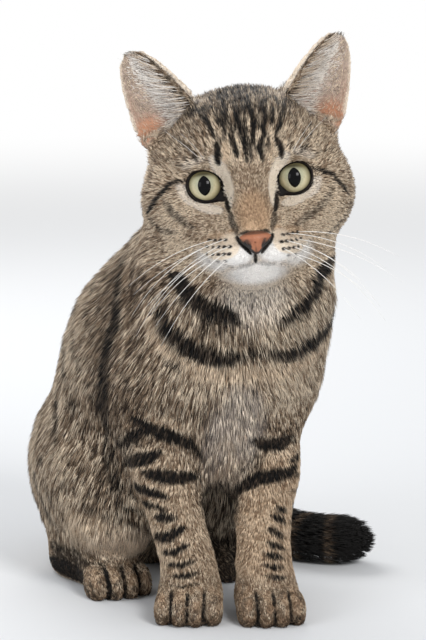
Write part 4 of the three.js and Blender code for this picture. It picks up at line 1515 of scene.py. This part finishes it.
def grown(roots, long, wide, rise):
    """Five points for each tuft: its root, a ring of three, and its tip, and how light each tuft is.

    Tips gather into locks, and a lock's tufts are much alike.
    """
    n = len(roots.place)
    dice = roots.dice
    long = long * dice.uniform(0.7, 1.2, n)
    rise = rise * dice.uniform(0.55, 1.15, n)
    side = np.cross(roots.lie, roots.normal)
    along = unit(roots.lie + dice.normal(0, STRAY, n)[:, None] * side)
    tip = roots.place + along * (long * 0.94)[:, None] + roots.normal * rise[:, None]
    leaders = np.arange(0, n, LOCK)
    leader = leaders[nearest_in(tree_of(roots.place[leaders]), roots.place)]
    apart = length_of(roots.place - roots.place[leader])
    pull = GATHER * dice.uniform(0.4, 1.2, n) * step(0.9, 0.3, apart / np.maximum(long, 1))
    tip = mix(tip, tip[leader], np.clip(pull, 0, 0.85)[:, None])
    at_end = step(26, 8, (tail_end - roots.place) @ tail_ahead) * (length_of(roots.place - tail_end) < 40)
    brush = roots.place + unit(roots.normal * 0.7 + tail_ahead) * (long * 0.5)[:, None]
    tip = mix(tip, brush, at_end[:, None])
    ring = mix(roots.place, tip, 0.38) + roots.normal * (rise * 0.30)[:, None]
    root = roots.place - roots.normal * 0.3
    half = (wide * dice.uniform(0.7, 1.25, n) / 2)[:, None]
    run = unit(tip - root)
    side = unit(np.cross(run, roots.normal))
    up = np.cross(side, run)
    tufts = np.stack([root, ring - side * half, ring + side * half, ring + up * half * 0.75, tip], 1)
    tufts[..., 2] = np.maximum(tufts[..., 2], FLOOR_GAP)
    own = dice.uniform(0, 1, n)
    spread = 1.45 * np.interp(long, [2.5, 5, 10], [0.5, 0.74, 1.0])
    chance = 0.5 + spread * (mix(own, own[leader], 0.62) - 0.5)
    return tufts, np.clip(chance, 0, 1)


def set_strands(piece, marks, along, chance):
    """Gives a piece of hair its markings, how far along its hair each point is, and how light the hair is."""
    set_attribute(piece, "marks", "FLOAT_COLOR", marks)
    set_attribute(piece, "strand", "FLOAT_VECTOR", np.stack([along, chance, along * 0], -1))


def tuft_piece(name, tufts, marks, chance, uv):
    n = len(tufts)
    faces = (TUFT_FACES[None] + TUFT_POINTS * np.arange(n)[:, None, None]).reshape(-1, 3)
    piece = mesh_object(name, tufts.reshape(-1, 3), faces)
    smooth(piece)
    set_bake_map(piece, (uv[:, None] + TUFT_PATCH[None]).reshape(-1, 2))
    set_strands(piece, marks.reshape(-1, 4), np.tile(TUFT_ALONG, n), np.repeat(chance, TUFT_POINTS))
    finish_with(piece, coat_finish)
    return piece


coat_finish = coat_material()


# Lids: a dark rim round each eye, joined to the skin

SLANT = math.radians(22)
LID_STEPS = 72
OPENING = (9.0, 7.7)  # half sizes of the gap between the lids, along the slant and across it
LID_WIDTH = 0.55
# Where the rim is wider: by how many mm, at what angle above the cheek side, over what angle
LID_WIDENS = [(0.5, 8, 38), (0.95, -85, 50), (1.2, -158, 36), (3.8, -139, 13)]
# Across the rim: how far out in its width, and how far over the eyeball and the face
LID_ROWS = [(-0.5, -1.0), (0.0, -0.1), (0.15, 0.4), (0.5, 0.55), (0.85, 0.35), (1.05, -0.1), (1.5, -1.6)]


def lid_outline(side, extra):
    """The rim's line round an eye, `extra` from 0 at its inner edge to 1 at its outer edge, as x and z."""
    t = np.linspace(0, WHOLE_TURN, LID_STEPS, endpoint=False)
    a, b = OPENING[0] * np.cos(t), OPENING[1] * np.sin(t)
    x = a * math.cos(SLANT) - b * math.sin(SLANT)
    z = a * math.sin(SLANT) + b * math.cos(SLANT)
    angle = np.degrees(np.arctan2(z, x))
    band = np.full(LID_STEPS, LID_WIDTH)
    for wider, at, over in LID_WIDENS:
        band += wider * np.exp(-((((angle - at + 180) % 360 - 180) / over) ** 2))
    grown_by = 1 + extra * band / np.hypot(x, z)
    return side * (x * grown_by + EYE_APART / 2), z * grown_by


def lid_rim(side, finish):
    def orbit(lift):
        return lambda q: blend(eyeball(q) - 0.15, face_shape(q) + 1.3, 3) - lift

    rows = [front_of(orbit(lift), *lid_outline(side, extra)) for extra, lift in LID_ROWS]
    faces = []
    for row in range(len(rows) - 1):
        for k in range(LID_STEPS):
            a, b = row * LID_STEPS + k, row * LID_STEPS + (k + 1) % LID_STEPS
            face = (a, a + LID_STEPS, b + LID_STEPS, b)
            faces.append(face if side == LEFT else (a, b, b + LID_STEPS, a + LID_STEPS))
    rim = mesh_object("rim", head.outward(np.concatenate(rows)), np.array(faces))
    finish_with(rim, finish)
    apply(rim, "SUBSURF", levels=1, render_levels=1)
    smooth(rim)
    return rim


BEHIND_FACE = 24  # mm back in the head's frame: nothing further back is under a lid
LID_MARGIN = 0.1


def behind_lids(q):
    """Which points of the head's frame are over an eye or under its rim."""
    hidden = np.zeros(len(q), bool)
    for side in SIDES:
        x, z = lid_outline(side, 1.0)
        x = x - side * EYE_APART / 2
        from_eye = q - np.array([side * EYE_APART / 2, 0, 0])
        turn = np.arctan2(z, x)
        order = np.argsort(turn)
        here = np.arctan2(from_eye[:, 2], from_eye[:, 0])
        limit = np.interp(here, turn[order], np.hypot(z, x)[order], period=WHOLE_TURN)
        hidden |= (np.hypot(from_eye[:, 0], from_eye[:, 2]) < limit + LID_MARGIN) & (q[:, 1] < BEHIND_FACE)
    return hidden


# Eyes

GAZE = unit(np.array([-0.015, -0.994, 0.109]))
CORNEA = 1.1  # how far the clear front stands out from the ball
EYE_INSET = 0.1


def eye(side, finish):
    bpy.ops.object.select_all(action="DESELECT")
    bpy.ops.mesh.primitive_uv_sphere_add(segments=96, ring_count=64, radius=EYEBALL * MM)
    ball = bpy.context.active_object
    ball.name = ball.data.name = "eyeball_" + SIDE_NAME[side]
    p = points_of(ball)  # its pole is +Z: turn it to look along the gaze
    across = unit(np.cross(head.aim([0, 0, 1]), -GAZE))
    up = np.cross(-GAZE, across)
    plane = np.stack([p[:, 0], -p[:, 2], p[:, 1]], -1) / EYEBALL  # across, back, up
    bulge = CORNEA * step(0.80, 0.0, np.hypot(plane[:, 0], plane[:, 2])) * (plane[:, 1] < 0)
    turned = across * plane[:, :1] - GAZE * plane[:, 1:2] + up * plane[:, 2:]
    put_points(ball, turned * (EYEBALL - EYE_INSET + bulge[:, None]) + eye_places[side])
    set_attribute(ball, "eye_plane", "FLOAT_VECTOR", plane)
    smooth(ball)
    finish_with(ball, finish)
    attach(ball, "root")
    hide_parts("eye_" + SIDE_NAME[side])


# Nose leather


def nose_hollow(q):
    """How dark the nose leather is: painted shade in the nostrils, the slits beside them and the groove, and
    the edges.
    """
    flat = q * [1, 0, 1]
    hollow = np.zeros(len(q))
    for side in SIDES:
        nostril = limb(flat, [side * 4.9, 0, -31.3], [side * 3.8, 0, -33.8], 1.4, 1.1)
        nostril = np.minimum(nostril, limb(flat, [side * 6.8, 0, -30.8], [side * 4.9, 0, -31.3], 0.5, 1.2))
        slit = limb(flat, [side * 9.8, 0, -28.6], [side * 1.8, 0, -37.2], 0.5, 0.6)
        hollow = np.maximum(hollow, np.maximum(step(0.5, -0.1, nostril), step(0.8, 0.1, slit)))
    groove = 0.55 * step(0.7, 0.2, np.abs(q[:, 0] + 0.4)) * step(-31, -36, q[:, 2])
    edges = np.maximum(0.7 * step(-28.0, -26.8, q[:, 2]), 0.95 * step(-35.6, -37.2, q[:, 2]))
    return np.maximum(hollow, np.maximum(groove, edges))


def nose():
    piece = copy_of("nose")
    piece.name = piece.data.name = "nose_leather"
    apply(piece, "DISPLACE", strength=0.0006, mid_level=0.0)
    apply(piece, "REMESH", mode="VOXEL", voxel_size=0.0004)
    apply(piece, "SMOOTH", factor=0.5, iterations=3)
    rough = head.inward(points_of(piece))
    put_points(piece, head.outward(settled(rough, nose_shape, 0.0, rounds=6, reach=3.5)))
    apply(piece, "SMOOTH", factor=0.4, iterations=1)
    smooth(piece)
    set_attribute(piece, "hollow", "FLOAT", nose_hollow(of_muzzle(head.inward(points_of(piece)))))
    finish_with(piece, nose_material())
    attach(piece, "root")
    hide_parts("nose")


# Whiskers and other single hairs

WHISKER_STEPS = 14
WHISKER_SEED, EAR_HAIR_SEED = 23, 31


def tube(line, root_radius, tip_radius, sides):
    """Points and faces of a thin tapered tube along a line."""
    run = unit(np.gradient(line, axis=0))
    side = unit(np.cross(run, np.array([0.13, 0.2, 1.0])))
    up = np.cross(side, run)
    turn = np.linspace(0, WHOLE_TURN, sides, endpoint=False)
    radius = np.linspace(root_radius, tip_radius, len(line))[:, None, None]
    ring = side[:, None] * np.cos(turn)[None, :, None] + up[:, None] * np.sin(turn)[None, :, None]
    faces = []
    for row in range(len(line) - 1):
        for k in range(sides):
            a, b = row * sides + k, row * sides + (k + 1) % sides
            faces += [(a, b, b + sides), (a, b + sides, a + sides)]
    last = (len(line) - 1) * sides
    for k in range(1, sides - 1):
        faces += [(0, k + 1, k), (last, last + k, last + k + 1)]
    return (line[:, None] + ring * radius).reshape(-1, 3), np.array(faces)


class Strands:
    """Thin tubes gathered into one mesh."""

    def __init__(self, sides):
        self.sides, self.points, self.faces, self.count = sides, [], [], 0

    def add(self, line, root_radius, tip_radius):
        made, corners = tube(line, root_radius, tip_radius, self.sides)
        self.points.append(made)
        self.faces.append(corners + self.count)
        self.count += len(made)

    def piece(self, name, finish, slot):
        made = mesh_object(name, np.concatenate(self.points), np.concatenate(self.faces))
        smooth(made)
        finish_with(made, finish)
        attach(made, "root")
        return made


def whiskers():
    dice = np.random.default_rng(WHISKER_SEED)
    strands = Strands(sides=5)
    t = np.linspace(0, 1, WHISKER_STEPS)[:, None]
    for root in whisker_roots[::2]:
        side = LEFT if root[0] > 0 else RIGHT
        row = step(-29, -40, root[2])
        long = dice.uniform(44, 66) * (1 - 0.1 * row)
        dip = mix(-0.08 if side == LEFT else -0.22, -0.62, row)
        out = unit(np.array([side * 1.0, -0.30 + dice.normal(0, 0.08), dip + dice.normal(0, 0.10)]))
        sag = np.array([-side * 0.12, 0.30, -0.30]) * long * dice.uniform(0.6, 1.2)
        strands.add(head.outward(root + out * long * t + sag * t**2), 0.19, 0.05)
    for side in SIDES:  # two over each eye
        for k in range(2):
            root = front_of(face_shape, np.array([side * (24 + 3.0 * k)]), np.array([14.5 + 1.2 * k]))[0]
            out = unit(np.array([side * (0.45 + 0.25 * k), -0.5, 0.8]))
            line = root + out * (19 + 3 * k) * t + np.array([side * 3, 7, 0]) * t**2
            strands.add(head.outward(line), 0.11, 0.04)
    strands.piece("whiskers", whisker_material(), "whisker")


HAIR_STEPS = 6
HAIR_SIDES = 3
EAR_HAIRS = 560  # in each ear


def ear_hair_map(roots_at):
    """A patch on the skin's own unwrap for each ear hair, at the skin's point nearest to its root."""
    uv_of = np.zeros((len(points), 2))
    uv_of[corners_of(skin)] = taken(skin.data.uv_layers["skin_map"].data, "uv", 2)
    at = uv_of[nearest_in(tree_of(points), roots_at)]
    across, along = np.tile([-1, 1, 0], HAIR_STEPS), np.repeat(np.linspace(-1, 1, HAIR_STEPS), HAIR_SIDES)
    return (at[:, None] + PATCH_HALF * np.stack([across, along], -1)[None]).reshape(-1, 2)


def ear_hair(dice, side):
    """The line of one hair on an ear, and how pale it is."""
    _, up, across, front = ear_frame(side)
    rise, s = dice.uniform(0.0, 0.85), dice.uniform(-0.8, 0.1)
    long = dice.uniform(8, 17) * (1 - 0.45 * rise)
    if dice.uniform() < 0.42:
        s, long = dice.uniform(0.05, 0.66), 0.5 * long
    root = ear_place(side, s, rise, 1.6)
    upward = mix(0.15, 0.9, rise) + dice.normal(0, 0.12)
    out = across * dice.uniform(0.6, 0.95) + up * upward + front * dice.uniform(0.08, 0.3)
    bend = up * 0.15 - front * 0.14 - across * 0.05
    t = np.linspace(0, 1, HAIR_STEPS)[:, None]
    line = head.outward(root + unit(out) * long * t + bend * long * t**2)
    return line, dice.uniform(0.75, 1.0) if s > -0.55 or dice.uniform() < 0.35 else 0.15


def ear_hairs():
    """Long pale hairs that stream outwards and up from the inner edge of each ear."""
    dice = np.random.default_rng(EAR_HAIR_SEED)
    hairs = [ear_hair(dice, side) for side in SIDES for _ in range(EAR_HAIRS)]
    strands = Strands(HAIR_SIDES)
    for line, _ in hairs:
        strands.add(line, 0.2, 0.05)
    piece = strands.piece("ear_hair", coat_finish, "coat_white")
    each = HAIR_STEPS * HAIR_SIDES
    along = np.tile(np.repeat(np.linspace(0.45, 0.9, HAIR_STEPS), HAIR_SIDES), len(hairs))
    chance = np.repeat(dice.uniform(0.3, 0.9, len(hairs)), each)
    marks = np.array([(0, pale, 0.2, 0.5) for _, pale in hairs])
    set_strands(piece, np.repeat(marks, each, axis=0), along, chance)
    set_bake_map(piece, ear_hair_map([line[0] for line, _ in hairs]))


# Camera, light and floor

VIEW_TARGET = np.array([5.334, -59.443, 165]) + shift
VIEW_DISTANCE = 1.35
VIEW_DOWN = math.radians(9.5)
LAMP_TARGET = (0, 0, 0.16)
FLOOR_REACH = 30.0  # metres, so that its edge is never seen
NEAR_FLOOR = (0.35, 3.0)  # metres: where the paper starts to fade to white, and where it is white
WORLD_LEVEL = 0.50  # the world's light on the object; the view sees it at 1


def aimed(obj, target):
    obj.rotation_euler = (Vector(target) - obj.location).to_track_quat("-Z", "Y").to_euler()


def camera():
    target = VIEW_TARGET * MM
    data = bpy.data.cameras.new("camera")
    data.lens, data.sensor_width, data.clip_start, data.clip_end = 136.8, 36.0, 0.05, 30.0
    seer = bpy.data.objects.new("camera", data)
    seer.location = target + np.array([0, -math.cos(VIEW_DOWN), math.sin(VIEW_DOWN)]) * VIEW_DISTANCE
    bpy.context.scene.collection.objects.link(seer)
    aimed(seer, target)
    bpy.context.scene.camera = seer


def lamp(name, place, size, power, colour):
    data = bpy.data.lights.new(name, "AREA")
    data.shape, data.size, data.size_y = "RECTANGLE", size[0], size[1]
    data.energy, data.color = power, colour
    made = bpy.data.objects.new(name, data)
    made.location = place
    bpy.context.scene.collection.objects.link(made)
    aimed(made, LAMP_TARGET)


def studio_world():
    world = bpy.data.worlds.new("studio")
    bpy.context.scene.world = world
    f = Sheet(world)
    ground = f.tree.nodes["Background"]
    ground.inputs["Color"].default_value = (1, 1, 1, 1)
    values = {"Value": f.seen_directly(), "To Min": WORLD_LEVEL, "To Max": 1.0}
    f.feed(ground.inputs["Strength"], f.node("ShaderNodeMapRange", values=values))


def paper_floor():
    bpy.ops.object.select_all(action="DESELECT")
    bpy.ops.mesh.primitive_circle_add(vertices=96, radius=FLOOR_REACH, fill_type="NGON")
    floor = bpy.context.active_object
    floor.name = floor.data.name = "floor"
    f = Finish("studio paper")
    f.set(Base_Color=shade(228, 231, 235), Roughness=0.9, Specular_IOR_Level=0.1)
    away = f.node("ShaderNodeVectorMath", {"operation": "LENGTH"}, {0: f.place()}, output="Value")
    far = f.range(away, *NEAR_FLOOR) * f.seen_directly()
    glow = f.node("ShaderNodeEmission", values={"Color": (1, 1, 1, 1), "Strength": 1.0})
    paper = Socket(f, f.shader.outputs["BSDF"])
    mixed = f.node("ShaderNodeMixShader", values={0: far, 1: paper, 2: glow})
    f.feed(f.tree.nodes["Material Output"].inputs["Surface"], mixed)
    finish_with(floor, f.material)


def studio():
    lamp("key", (0.88, -1.55, 1.35), (0.62, 0.74), 24.8, (1.0, 0.985, 0.96))
    lamp("fill", (-1.35, -1.2, 0.7), (1.1, 1.1), 11.0, (0.98, 0.985, 1.0))
    lamp("rim", (-0.45, 1.1, 1.1), (1.2, 0.6), 12.0, (1.0, 0.98, 0.95))
    studio_world()
    paper_floor()
    bpy.context.scene.view_settings.view_transform = "Standard"


# Putting it together

COAT_PIECES = {
    "coat_head": ["head", "jaw", "nose", *EARS],
    "coat_neck": ["neck"],
    "coat_trunk": ["trunk"],
    "coat_thighs": ["thigh_right", "thigh_left"],
    "coat_legs": [name for name in FLESH if name.startswith(("front", "hind"))],
    "coat_tail": TAIL,
}
TAIL_SHINE = 0.3  # the share of its chance of being light that a tuft on the tail keeps
SOLE_TOP = 5  # mm above the floor, below which what faces down is a sole


def mark_skin():
    """Gives the skin its markings, and how bare it is in the ears. Tells how much less coat grows there."""
    set_attribute(skin, "marks", "FLOAT_COLOR", markings(points + normals * skin_depth[:, None] * 0.8))
    bare, pocket = np.zeros(len(points)), np.zeros(len(points))
    for side in SIDES:
        s, rise, proud = ear_share(side, q)
        within = (on_node["ear_" + SIDE_NAME[side]] & (proud > 0)) * step(-0.02, 0.08, rise)
        bare = np.maximum(bare, within * step(-0.7, -0.35, s))
        # the tan pocket near the ear's foot and along its outer edge: partly painted glow of light through
        # the thin ear
        low = oval((s - 0.72) / 0.5, (rise - 0.12) / 0.26, 1.1, 0.3)
        edge = 0.35 * step(0.6, 0.9, s) * step(0.8, 0.4, rise)
        pocket = np.maximum(pocket, within * np.maximum(low, edge))
    bare, pocket = web.spread(bare, 2), web.spread(pocket, 2)
    set_attribute(skin, "bare", "FLOAT", bare)
    set_attribute(skin, "pocket", "FLOAT", pocket)
    return mix(1.0, 0.4, bare) * mix(1.0, 0.35, pocket)


def coat_roots(thinned):
    """Roots all over the skin, but for the soles, the eyes and the nose leather."""
    number = skin_number * thinned
    number[(normals[:, 2] < -0.8) & (points[:, 2] < SOLE_TOP)] = 0
    roots = Roots(number, COAT_SEED)
    root_q = head.inward(roots.place)
    on_nose = (nose_shape(root_q) < 0.5) & (root_q[:, 1] < -12)
    roots.keep(~behind_lids(root_q) & ~on_nose)
    return roots


def coat_pieces(zone, across):
    """The name of each piece of the coat and the tufts in it, sorted from side to side."""
    for name, nodes in COAT_PIECES.items():
        members = np.flatnonzero(np.isin(zone, [FLESH.index(node) for node in nodes]))
        members = members[np.argsort(across[members])]
        count = math.ceil(len(members) / PIECE_LIMIT)
        for k, part in enumerate(np.array_split(members, count)):
            yield (name if count == 1 else f"{name}_{k + 1}"), part


def grow_coat(thinned):
    roots = coat_roots(thinned)
    long, wide, deep = (roots.of(values) for values in (skin_length, skin_width, skin_depth))
    tufts, chance = grown(roots, long, wide, deep)
    ragged = np.clip(long * 0.05, 0.1, 0.6)[:, None] * roots.dice.normal(0, 1, roots.place.shape)
    middle_marks = markings(tufts[:, 3] + ragged)
    tip_marks = markings(mix(tufts[:, 3], tufts[:, 4], 0.7) + ragged)
    marks = np.stack([middle_marks] * 4 + [tip_marks], 1)
    for name, part in coat_pieces(nearest[roots.corners[:, 0]], roots.place[:, 0]):
        tail = name.startswith("coat_tail")
        light = chance[part] * (TAIL_SHINE if tail else 1.0)
        piece = tuft_piece(name, tufts[part], marks[part], light, roots.uv[part])
        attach(piece, "root")


def finish_skin():
    finish_with(skin, skin_material())
    rim_finish = rim_material()
    join(skin, [lid_rim(side, rim_finish) for side in SIDES])
    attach(skin, "root")
    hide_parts(*FLESH)


camera()
studio()
grow_coat(mark_skin())
ear_hairs()
finish_skin()
eye_finish = eye_material()
for side in SIDES:
    eye(side, eye_finish)
nose()
whiskers()
